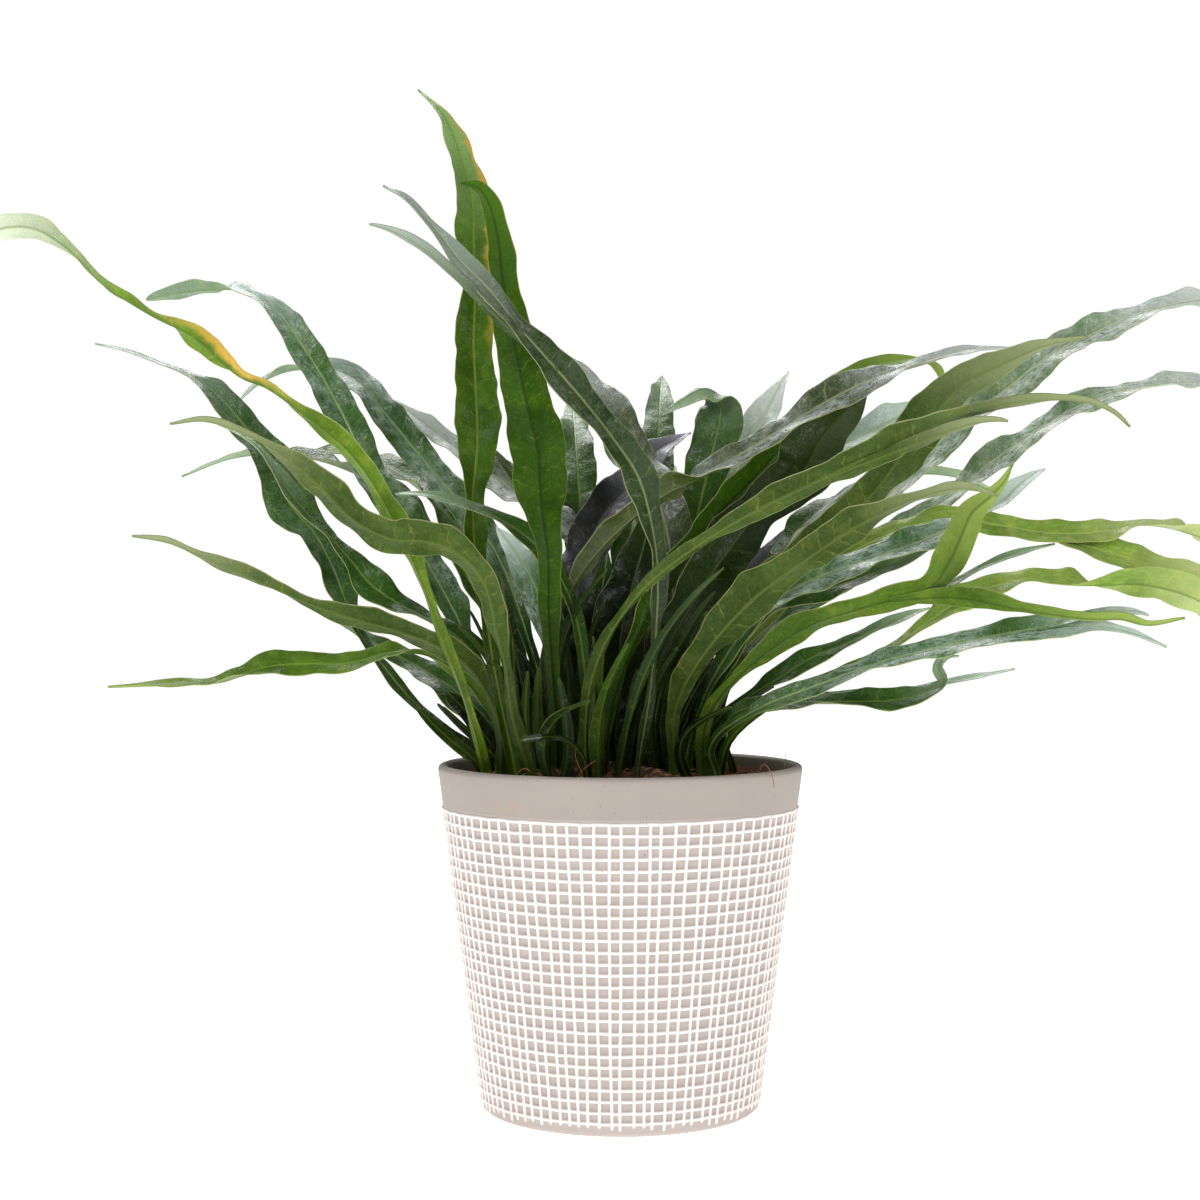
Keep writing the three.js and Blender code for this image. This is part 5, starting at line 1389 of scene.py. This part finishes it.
def face_height(side, reach, half, along, share, start, strength):
    """The height of the blade's middle surface over its rib on one side of the rib."""
    part = reach / half[:, None]
    lift = strength * long_wave(side, half, along, share, start)
    phase = 2 * math.pi * along / RUFFLE_LENGTH + RUFFLES_APART * side * start
    ruffle = RUFFLE * half * np.sin(phase)
    pillow = np.sin(2 * math.pi * (along[:, None] - VEIN_SLANT * reach) / VEIN_PITCH)
    wing = np.minimum(half / FULL_WING, 1)[:, None]
    return (reach * math.sin(FOLD)
            + lift[:, None] * part**WAVE_CURVE
            + ruffle[:, None] * part**RUFFLE_CURVE * wing
            + BULGE * half[:, None] * np.sin(math.pi * part)
            + PILLOW * pillow * np.sin(math.pi * part) * wing)


print("points in a blade's section:", 4 * (len(IN_RIB) + len(IN_WING)) - 2)

# %% Swaying margins
SWAY, QUICK_SHARE = 0.05, 0.35
# Wave length in mm, and how much the waves of one blade are set off from the next one's
SLOW_SWAY, QUICK_SWAY = (23, 2.7), (9.5, 1.3)


def sway_wave(along, start, length, set_off):
    return np.sin(2 * math.pi * along / length + set_off * start)


def swaying_margin(half, along, start):
    """Half widths that swell and shrink a little, as the margins of a grown blade do."""
    slow, quick = (sway_wave(along, start, *wave) for wave in (SLOW_SWAY, QUICK_SWAY))
    return half * (1 + SWAY * (slow + QUICK_SHARE * quick))


print(f"margins sway by up to {100 * SWAY * (1 + QUICK_SHARE):.0f} percent")

# %% Blade skins
HALF_THICKNESS, MARGIN_THICKNESS = 0.27, 0.2
RIB_ABOVE, RIB_BELOW, RIB_BELOW_AT_TIP = 0.3, 0.7, 0.2
# The four quarters of a ring: side, upper or under face, and whether it runs inwards
QUARTERS = [(1, 1, True), (-1, 1, False), (-1, 0, True), (1, 0, False)]


def join_quarters(surfaces, places):
    """Joins the four quarters into one ring, each rib point used once."""
    points, across, upper_side = [], [], []
    for side, upper, inwards in QUARTERS:
        pick = slice(None, None, -1) if inwards else slice(1, None)
        points.append(surfaces[side, upper][:, pick])
        across.append(places[side][:, pick])
        upper_side.append(np.full(across[-1].shape, float(upper)))
    return tuple(np.concatenate(parts, axis=1) for parts in (points, across, upper_side))


def blade_skin(line, start, strength, stalk=0.0, spacing=STATION_SPACING):
    """All rings of a blade, upper face from left to right and under face back, and measures."""
    centre, normal, left, half, share, length = blade_frames(line, spacing, stalk)
    along = share * length
    half = swaying_margin(half, along, start)
    reach = section_reach(half)
    thick = HALF_THICKNESS + (MARGIN_THICKNESS - HALF_THICKNESS) * reach / half[:, None]
    below = (RIB_BELOW + (RIB_BELOW_AT_TIP - RIB_BELOW) * share)[:, None]
    surfaces = {}
    for side in (1, -1):
        height = face_height(side, reach, half, along, share, start, strength)
        sideways = left[:, None, :] * (side * reach * math.cos(FOLD))[..., None]
        for upper in (1, 0):
            skin = thick + rib_swell(reach, half, RIB_ABOVE if upper else below)
            level = height + (skin if upper else -skin)
            raising = normal[:, None, :] * level[..., None]
            surfaces[side, upper] = centre[:, None, :] + sideways + raising
    points, across, upper_side = join_quarters(surfaces, {1: reach, -1: -reach})
    rows = np.ones(points.shape[1])
    measures = {
        "along": along[:, None] * rows, "share": share[:, None] * rows, "across": across,
        "half": half[:, None] * rows, "upper": upper_side,
    }
    return points, measures


arch_points, _ = blade_skin(frond_lines["left_arch"], 0.0, 1.0)
print("left_arch has", len(arch_points), "stations of", arch_points.shape[1], "points")

# %% [markdown]
# ## Leaf finishes
# The upper face of a blade is dark bluish green with a waxy bloom and a pale rib. Where a face
# looks up, the bloom also carries a painted sheen: the light from above, painted pale. The under
# face is a lighter, yellower green with a raised rib. Young fronds are lime and old ones go
# yellow at the margins. Those deep in the clump are painted nearly black-green, as painted shade.
# One material with painted textures would need an image for each blade. Here one recipe of nodes
# reads each point's place on its blade, and a short table of colours gives it a finish for each
# kind of frond.

# %% Colours of the leaf finishes
# Colours as seen on a screen, then how strong the waxy bloom with its painted sheen and the
# shine are. The tip colour is also the pale colour of the bloom and its painted sheen.
LOOK_PARTS = ("upper", "under", "tip", "rib", "under_rib", "bloom_and_sheen", "shine")
# The shade and dusk finishes are painted shade: near-black greens for blades deep in the clump
LOOKS = {
    "deep": [(42, 82, 6), (66, 96, 18), (150, 176, 140), (122, 142, 60), (50, 66, 16), 0.12, 0.35],
    "sage": [(60, 94, 16), (74, 104, 32), (140, 176, 104), (118, 132, 50), (78, 94, 30), 0.15, 0.15],
    "olive": [(52, 76, 26), (62, 83, 32), (138, 148, 106), (134, 148, 80), (90, 108, 44), 0.1, 0.12],
    "dusk": [(17, 40, 5), (27, 48, 7), (56, 74, 30), (92, 108, 46), (60, 78, 28), 0.08, 0.25],
    "backlit": [(46, 82, 6), (46, 78, 0), (60, 98, 4), (110, 142, 40), (18, 32, 0), 0.05, 0.15],
    "fresh": [(88, 120, 36), (78, 106, 26), (142, 164, 78), (128, 160, 66), (44, 68, 8), 0.1, 0.15],
    "mint": [(48, 92, 24), (78, 118, 32), (206, 224, 214), (144, 170, 98), (104, 134, 60), 0.72, 0.65],
    "grey": [(58, 74, 40), (84, 98, 52), (196, 206, 200), (156, 164, 112), (112, 120, 70), 0.9, 0.65],
    "steel": [(38, 60, 24), (52, 74, 30), (150, 164, 150), (130, 142, 90), (92, 106, 56), 0.55, 0.4],
    "frosted": [(44, 82, 14), (66, 98, 20), (162, 180, 164), (120, 142, 72), (60, 78, 26), 0.42, 0.5],
    "pale": [(92, 122, 80), (104, 132, 76), (220, 230, 222), (172, 188, 134), (126, 146, 88), 1.0, 0.6],
    "lime": [(130, 160, 66), (116, 148, 54), (196, 206, 140), (166, 192, 100), (70, 98, 14), 0.3, 0.2],
    "lemon": [(88, 122, 22), (96, 130, 28), (232, 240, 222), (176, 186, 90), (84, 104, 20), 0.7, 0.2],
    "shade": [(14, 28, 3), (24, 40, 3), (40, 62, 8), (70, 90, 26), (34, 46, 6), 0.0, 0.25],
    "low_green": [(48, 76, 16), (58, 82, 20), (56, 84, 20), (104, 122, 46), (70, 90, 30), 0.0, 0.15],
    "purple": [(44, 44, 50), (42, 44, 36), (160, 158, 168), (100, 102, 92), (46, 46, 36), 0.6, 0.6],
}
# How much of the bloom with its painted sheen and of the pale tip the under face shows, where
# that isn't all
UNDER_TIP = {"mint": 0.25}
WORN_BY = {
    "sage": ["tall_back"],
    "olive": ["left_curved", "right_broad", "front_long", "front_broad", "left_straight"],
    "dusk": ["dark_broad", "centre_small", "left_inner", "small_curl"],
    "backlit": ["tall_front", "centre_green"],
    "mint": ["left_arch", "left_glossy", "centre_mint", "right_gloss", "mid_blue",
             "mid_blue_back", "low_fork", "low_thin"],
    "grey": ["left_grey", "centre_pale", "long_right"],
    "steel": ["long_diagonal"],
    "frosted": ["left_broad"],
    "pale": ["right_far", "right_pale", "top_back"],
    "fresh": ["forked_bright", "lime_hook", "left_low"],
    "lime": ["bright_low", "bright_upper"],
    "lemon": ["left_long_yellow"],
    "shade": ["centre_deep", "centre_left_deep", "left_foot", "small_front"],
    "purple": ["centre_dark", "back_purple"],
}
finish_of = {frond: finish for finish, fronds in WORN_BY.items() for frond in fronds}


def finish_look(name):
    """A finish by its parts, with its colours as shaders want them."""
    parts = [srgb(*part) if isinstance(part, tuple) else part for part in LOOKS[name]]
    return dict(zip(LOOK_PARTS, parts), under_tip=UNDER_TIP.get(name, 1.0))


finishes = {name: finish_look(name) for name in LOOKS}
print("finishes:", len(finishes))

# %% Lines on a blade
# Size of a noise in mm and its detail, how far it is drawn out, and where a mask rises or falls
VEIN_CROOKED, VEIN_LINE, VEINS_WHOLE = 3.5, (0.08, 0.0), (0.44, 0.6)
CRINKLES, CRINKLES_DRAWN_OUT, CRINKLE_LINE = (3.4, 2.0), 0.45, (0.05, 0.0)


def along_blade(tree, masks, drawn_out):
    """Places that follow the blade, so that a pattern on them is drawn out along it."""
    along = times(tree, masks["along"], MM / drawn_out)
    across = times(tree, masks["across"], MM)
    return add_node(tree, "ShaderNodeCombineXYZ", {0: along, 1: across}).outputs[0]


def from_middle(tree, value):
    """How far a value from 0 to 1 is from its middle."""
    return calc(tree, "ABSOLUTE", calc(tree, "SUBTRACT", value, 0.5))


def vein_lines(tree, masks):
    """Thin slanted lines from the rib to the margin, crooked and often broken."""
    slanted = times_plus(tree, masks["reach"], -VEIN_SLANT, masks["along"])
    crooked = times_plus(tree, masks["pucker"], VEIN_CROOKED, slanted)
    turn = calc(tree, "FRACT", calc(tree, "DIVIDE", crooked, VEIN_PITCH))
    line = step(tree, from_middle(tree, turn), *VEIN_LINE)
    return times(tree, line, step(tree, masks["patches"], *VEINS_WHOLE))


def crinkle_lines(tree, masks):
    """A net of fine wrinkles across the blade: the middle level of a noise, drawn as lines."""
    level = speckle(tree, *CRINKLES, along_blade(tree, masks, CRINKLES_DRAWN_OUT))
    return step(tree, from_middle(tree, level), *CRINKLE_LINE)


print("side veins", VEIN_PITCH, "mm apart")

# %% Masks over a blade
CLOUDS, PATCHES, PUCKER = (20.0, 3.0), (7.0, 2.0), (2.4, 1.0)
LEAF_FIBRES, FIBRES_DRAWN_OUT = (1.1, 1.0), 4.0
ON_RIB = (0.8, 0.35)
ON_MARGIN, HALF_WITH_MARGIN = (0.3, 0.05), (2.6, 5.0)
MEASURES = ("along", "share", "across", "half", "upper")


def leaf_masks(tree):
    """What the mesh carries, in mm or from 0 to 1, and the patterns that all finishes share."""
    masks = {name: measured(tree, name) for name in MEASURES}
    masks["reach"] = calc(tree, "ABSOLUTE", masks["across"])
    masks["margin"] = calc(tree, "DIVIDE", masks["reach"], masks["half"])
    masks["clouds"] = speckle(tree, *CLOUDS)
    masks["patches"] = speckle(tree, *PATCHES)
    masks["pucker"] = speckle(tree, *PUCKER)
    masks["crinkles"] = crinkle_lines(tree, masks)
    masks["fibres"] = speckle(tree, *LEAF_FIBRES, along_blade(tree, masks, FIBRES_DRAWN_OUT))
    masks["veins"] = vein_lines(tree, masks)
    masks["on_rib"] = step(tree, masks["reach"], *ON_RIB)
    inwards = calc(tree, "SUBTRACT", masks["half"], masks["reach"])
    masks["on_margin"] = times(tree, step(tree, inwards, *ON_MARGIN),
                               step(tree, masks["half"], *HALF_WITH_MARGIN))
    return masks


print("measures on each point of a blade:", len(MEASURES))

# %% Yellowed edges
AGED_SOFT, AGED_RAGGED, AGED_RISES = 0.06, 0.9, 0.55
# Where along a blade an edge has yellowed, on which side, and how close to the margin it keeps
AGED = {
    "sage": dict(colour=(190, 150, 62), start=0.62, end=0.98, side=-1, inwards=0.95),
    "lemon": dict(colour=(206, 166, 70), start=0.52, end=0.63, side=1, inwards=0.55),
}


def aged_edge(tree, masks, aged):
    """Where an old blade turns yellow: over part of its run, from one margin inwards."""
    start, end = aged["start"], aged["end"]
    run = times(tree, step(tree, masks["share"], start - AGED_SOFT, start + AGED_SOFT),
                step(tree, masks["share"], end + AGED_SOFT, end - AGED_SOFT))
    outwards = times(tree, masks["margin"], calc(tree, "SIGN", masks["across"]))
    ragged = times_plus(tree, outwards, aged["side"], times(tree, masks["patches"], AGED_RAGGED))
    return times(tree, run, step(tree, ragged, aged["inwards"], aged["inwards"] + AGED_RISES))


print("finishes with a yellowed edge:", list(AGED))

# %% [markdown]
# The recipe goes from the ground colour outwards, as the real layers do: mottled green, the
# waxy bloom on it with a painted sheen where a face looks up, the veins with painted glints on
# the wrinkles, the rib, the thin margin, and last the dark foot, painted shade where the clump
# shades each stalk. Every layer is a mask with a strength, so that one number changes it.

# %% Green, bloom and painted sheen
BLOOM_SHEEN_STARTS, LYING = (0.1, 0.5), (0.2, 0.9)
WAXY_SHEEN_FIBRES, WAXY_SHEEN_PATCHES = (0.42, 0.6), (0.4, 0.65)
BLOOM_SHEEN_ON_RIDGES, BLOOM_SHEEN_BETWEEN, BLOOM_SHEEN_IN_PATCHES = 0.6, 0.15, 0.25
DARKER, DARK_CLOUDS = (0.6, 0.66, 0.5), (0.36, 0.62)
WARMER, WARM_PATCHES, WARM_SHARE = (1.7, 1.3, 1.1), (0.5, 0.72), 0.7
PALER, PALE_FIBRES, PALE_SHARE = (1.5, 1.45, 1.3), (0.4, 0.7), 0.5


def looks_up(tree):
    """1 on faces that look up and 0 on those that look sideways or down."""
    normal = add_node(tree, "ShaderNodeNewGeometry").outputs["Normal"]
    return step(tree, height_of(tree, normal), *LYING)


def bloom_and_sheen_share(tree, masks, bloom_and_sheen):
    """Painted sheen on the wax: pale on faces that look up, brightest on wrinkles and fibres."""
    lying = times(tree, looks_up(tree), step(tree, masks["share"], *BLOOM_SHEEN_STARTS))
    ridges = calc(tree, "MAXIMUM", masks["crinkles"], step(tree, masks["fibres"], *WAXY_SHEEN_FIBRES))
    broken = times_plus(tree, ridges, BLOOM_SHEEN_ON_RIDGES, BLOOM_SHEEN_BETWEEN)
    patches = step(tree, masks["patches"], *WAXY_SHEEN_PATCHES)
    patchy = times_plus(tree, patches, BLOOM_SHEEN_IN_PATCHES, broken)
    return times(tree, times(tree, lying, patchy), bloom_and_sheen)


def mottled_green(tree, masks, look):
    """Under and upper green with lighter, darker and warmer patches and fine fibres."""
    green = blend(tree, masks["upper"], look["under"], look["upper"])
    darker = tinted(tree, green, *DARKER)
    green = blend(tree, step(tree, masks["clouds"], *DARK_CLOUDS), darker, green)
    warm = times(tree, step(tree, masks["patches"], *WARM_PATCHES), WARM_SHARE)
    green = blend(tree, warm, green, tinted(tree, green, *WARMER))
    pale = times(tree, step(tree, masks["fibres"], *PALE_FIBRES), PALE_SHARE)
    return blend(tree, pale, green, tinted(tree, green, *PALER))


print("patches and fibres up to", max(WARMER + PALER), "times as bright")

# %% Veins with painted glints, rib, margin and foot
VEIN_PALE, VEIN_SHARE, CRINKLE_GLINT_SHARE = 0.4, 0.85, 0.3
PALE_TIP = (0.7, 1.0)
RIB_SHARE, RIB_FADES = 0.8, -0.4
MARGIN_STRAW, MARGIN_MIX, MARGIN_SHARE = srgb(214, 206, 140), 0.5, 0.5
FOOT_DARK, FOOT_SHADE = (0.55, 0.54, 0.36), (0.45, 0.05)


# Pale veins, and painted highlights: the fine wrinkles are painted paler, as glints of light on them
def with_veins_and_glints(tree, green, masks, rib):
    veined = blend(tree, VEIN_PALE, green, rib)
    lines = calc(tree, "MAXIMUM", masks["veins"], times(tree, masks["crinkles"], CRINKLE_GLINT_SHARE))
    return blend(tree, times(tree, lines, VEIN_SHARE), green, veined)


def with_rib_and_margin(tree, green, masks, look):
    rib = blend(tree, masks["upper"], look["under_rib"], look["rib"])
    fading = times_plus(tree, masks["share"], RIB_FADES, RIB_SHARE)
    green = blend(tree, times(tree, masks["on_rib"], fading), green, rib)
    margin = blend(tree, MARGIN_MIX, look["rib"], MARGIN_STRAW)
    return blend(tree, times(tree, masks["on_margin"], MARGIN_SHARE), green, margin)


def leaf_colour(tree, masks, look, aged):
    """All layers of the recipe, with the colours of one finish."""
    green = mottled_green(tree, masks, look)
    on_face = times_plus(tree, masks["upper"], 1 - look["under_tip"], look["under_tip"])
    # Painted sheen: on faces that look up, the bloom is painted in the pale tip colour
    bloom_and_sheen_here = times(tree, bloom_and_sheen_share(tree, masks, look["bloom_and_sheen"]), on_face)
    green = blend(tree, bloom_and_sheen_here, green, look["tip"])
    green = with_veins_and_glints(tree, green, masks, look["rib"])
    towards_tip = times(tree, step(tree, masks["share"], *PALE_TIP), on_face)
    green = blend(tree, towards_tip, green, look["tip"])
    green = with_rib_and_margin(tree, green, masks, look)
    if aged:
        green = blend(tree, aged_edge(tree, masks, aged), green, srgb(*aged["colour"]))
    foot = tinted(tree, green, *FOOT_DARK)
    return blend(tree, step(tree, masks["share"], *FOOT_SHADE), green, foot)


print("the foot is shaded over the first", FOOT_SHADE[0], "of a frond")

# %% Relief and the finished materials
VEINS_SUNK, CRINKLES_RAISED, FIBRES_RAISED = -0.5, 0.3, 0.35
LEAF_BUMP = 0.24
LEAST_ROUGHNESS, ROUGHER_PATCHES = 0.2, 0.25


def leaf_height(tree, masks):
    """Puckers between sunken veins, fine fibres and a rib that stays smooth."""
    height = times_plus(tree, masks["veins"], VEINS_SUNK, masks["pucker"])
    height = times_plus(tree, masks["crinkles"], CRINKLES_RAISED, height)
    height = times_plus(tree, masks["fibres"], FIBRES_RAISED, height)
    return times(tree, height, calc(tree, "SUBTRACT", 1.0, masks["on_rib"]))


def leaf_material(finish, look):
    material, tree, shader = new_material("leaf_" + finish)
    masks = leaf_masks(tree)
    fill_sockets(tree, shader, {
        "Base Color": leaf_colour(tree, masks, look, AGED.get(finish)),
        "Roughness": times_plus(tree, masks["patches"], ROUGHER_PATCHES, LEAST_ROUGHNESS),
        "Normal": raised(tree, leaf_height(tree, masks), LEAF_BUMP),
        "Specular IOR Level": look["shine"],
    })
    return material


leaf_materials = {finish: leaf_material(finish, look) for finish, look in finishes.items()}
print("leaf materials:", len(leaf_materials))

# %% [markdown]
# ## Putting the fronds together
# A forked frond is one living blade with a second prong. Merging two meshes with a boolean can
# leave slivers on thin leaves, so the prong's mesh starts inside the main blade and goes into
# the same object. Each frond replaces its imported node, which is hidden.

# %% Fronds
STALK_HALF_WIDTH = 3.0
BLADES_APART = 1.7
PRONG_STRENGTH = 0.5
PRONG_SHARE = 0.55


def prong_lines(name):
    """The second prongs of a frond, each from its point on the main line."""
    knots = frond_lines[name][0]
    place, _ = even_places(knots, STATION_SPACING)
    prongs = []
    for frond, share, trace in FORKS:
        if frond == name:
            leaves_at = place[round(share * (len(place) - 1))]
            start = line_through(knots, np.array([leaves_at]))[0]
            prongs.append(traced_line([start], trace))
    return prongs


def prong_skin(line, index):
    """A prong as a blade, with the colours of the outer part of its frond."""
    points, measures = blade_skin(line, index, PRONG_STRENGTH)
    measures["share"] = PRONG_SHARE + (1 - PRONG_SHARE) * measures["share"]
    return points, measures


def frond_piece(name, index):
    skins = [blade_skin(frond_lines[name], BLADES_APART * index, 1.0, STALK_HALF_WIDTH)]
    skins += [prong_skin(line, index) for line in prong_lines(name)]
    material = leaf_materials[finish_of.get(name, "deep")]
    return make_piece("blade_" + name, skins, material, node="frond_" + name)


blades = [frond_piece(name, index) for index, name in enumerate(frond_lines)]
print("blades:", len(blades), "with", sum(len(blade.data.polygons) for blade in blades), "faces")

# %% [markdown]
# ## Young blades inside the clump
# Low down, the real clump is closed: young blades fill the room between the stalks and hide
# the soil. Blades set at random would cross the others and look stuck in. Real ones fan out
# with their elders, so each follows the lower part of a full-grown frond about a centimetre
# inwards of it, and is narrower. A seeded draw picks the frond, the step and the length. They
# make three meshes, one for each finish: one mid-green and two dark, shade and dusk, which are
# painted shade between the stalks.

# %% Free spots for inner blades
INNER_BLADES = 68
INNER_APART, INNER_FROM_WALL = 4.0, 4
INNER_KNOTS_APART = 13.0
INNER_ELDER_LENGTH = 200.0
STEP_TRIES, STEP_TURN, STEP_LENGTHS = 60, 1.4, (4.5, 13.0)
feet = [list(foot) for _, foot, *_ in FRONDS + RULED_FRONDS]
elders = [(name, foot) for name, foot, *_ in FRONDS + RULED_FRONDS
          if even_places(frond_lines[name][0], INNER_KNOTS_APART)[1] > INNER_ELDER_LENGTH]


def free_step(foot):
    """A step inwards from a frond's foot to a free spot on the soil, or None."""
    inwards = math.atan2(-foot[1], -foot[0])
    for _ in range(STEP_TRIES):
        turn, far = inwards + random.uniform(-STEP_TURN, STEP_TURN), random.uniform(*STEP_LENGTHS)
        move = np.array([math.cos(turn), math.sin(turn)]) * far
        spot = np.array(foot) + move
        gaps = np.linalg.norm(np.array(feet) - spot, axis=1)
        if gaps.min() > INNER_APART and np.hypot(*spot) < SOIL_REACH - INNER_FROM_WALL:
            return move
    return None


print("elders for the inner blades:", len(elders))

# %% Lines of the inner blades
INNER_LENGTHS, INNER_AT_MOST = (60, 150), 0.45
INNER_FARTHEST = 82.0
INNER_FEWEST_KNOTS = 5
INNER_SPREAD, INNER_SWAY = 0.9, 5
INNER_WIDTHS = (4.5, 7.5)
INNER_FOOT_WIDTH, INNER_WIDEST_EARLY = 0.55, 1.2
INNER_TIP_WIDTHS, INNER_TIP = (0.8, 0.5), 1.0


def inner_widths(share):
    """Widths that are greatest halfway and run out to a point over the last three knots."""
    greatest = random.uniform(*INNER_WIDTHS)
    swelling = np.sin(math.pi * np.minimum(1, share * INNER_WIDEST_EARLY))
    widths = greatest * (INNER_FOOT_WIDTH + (1 - INNER_FOOT_WIDTH) * swelling)
    widths[-3:] = [part * greatest for part in INNER_TIP_WIDTHS] + [INNER_TIP]
    return widths


def inner_line(name, move):
    """The lower part of a frond's line, kept inside the clump and narrowed to a new tip."""
    centre, normal, _, _, _, length = blade_frames(frond_lines[name], INNER_KNOTS_APART, 0.0)
    reach = min(random.uniform(*INNER_LENGTHS), INNER_AT_MOST * length)
    in_clump = int(np.sum(np.hypot(centre[:, 0], centre[:, 1]) < INNER_FARTHEST))
    count = max(INNER_FEWEST_KNOTS, min(int(reach / INNER_KNOTS_APART), in_clump))
    share = np.linspace(0, 1, count)
    knots = centre[:count] + np.append(move, 0.0) * (1 + INNER_SPREAD * share[:, None])
    knots[:, 0] += random.uniform(-INNER_SWAY, INNER_SWAY) * np.sin(math.pi * share)
    return knots, normal[:count], inner_widths(share)


inner_lines = []
for _ in range(4 * INNER_BLADES):
    name, foot = elders[random.integers(len(elders))]
    move = free_step(foot)
    if move is not None and len(inner_lines) < INNER_BLADES:
        feet.append(list(np.array(foot) + move))
        inner_lines.append(inner_line(name, move))
print("inner blades:", len(inner_lines))

# %% Inner blades as three meshes
# Shade and dusk are painted shade: dark blades for the shade between the stalks
INNER_FINISHES = ["shade", "dusk", "low_green"]
INNER_SPACING = 4.2
INNER_SET_OFF, INNER_STRENGTH = 2.3, 0.7

inner_skins = [blade_skin(line, INNER_SET_OFF * index, INNER_STRENGTH, spacing=INNER_SPACING)
               for index, line in enumerate(inner_lines)]
for first, finish in enumerate(INNER_FINISHES):
    skins = inner_skins[first::len(INNER_FINISHES)]
    inner = make_piece("inner_blades_" + finish, skins, leaf_materials[finish])
    print(inner.name, len(inner.data.polygons), "faces")
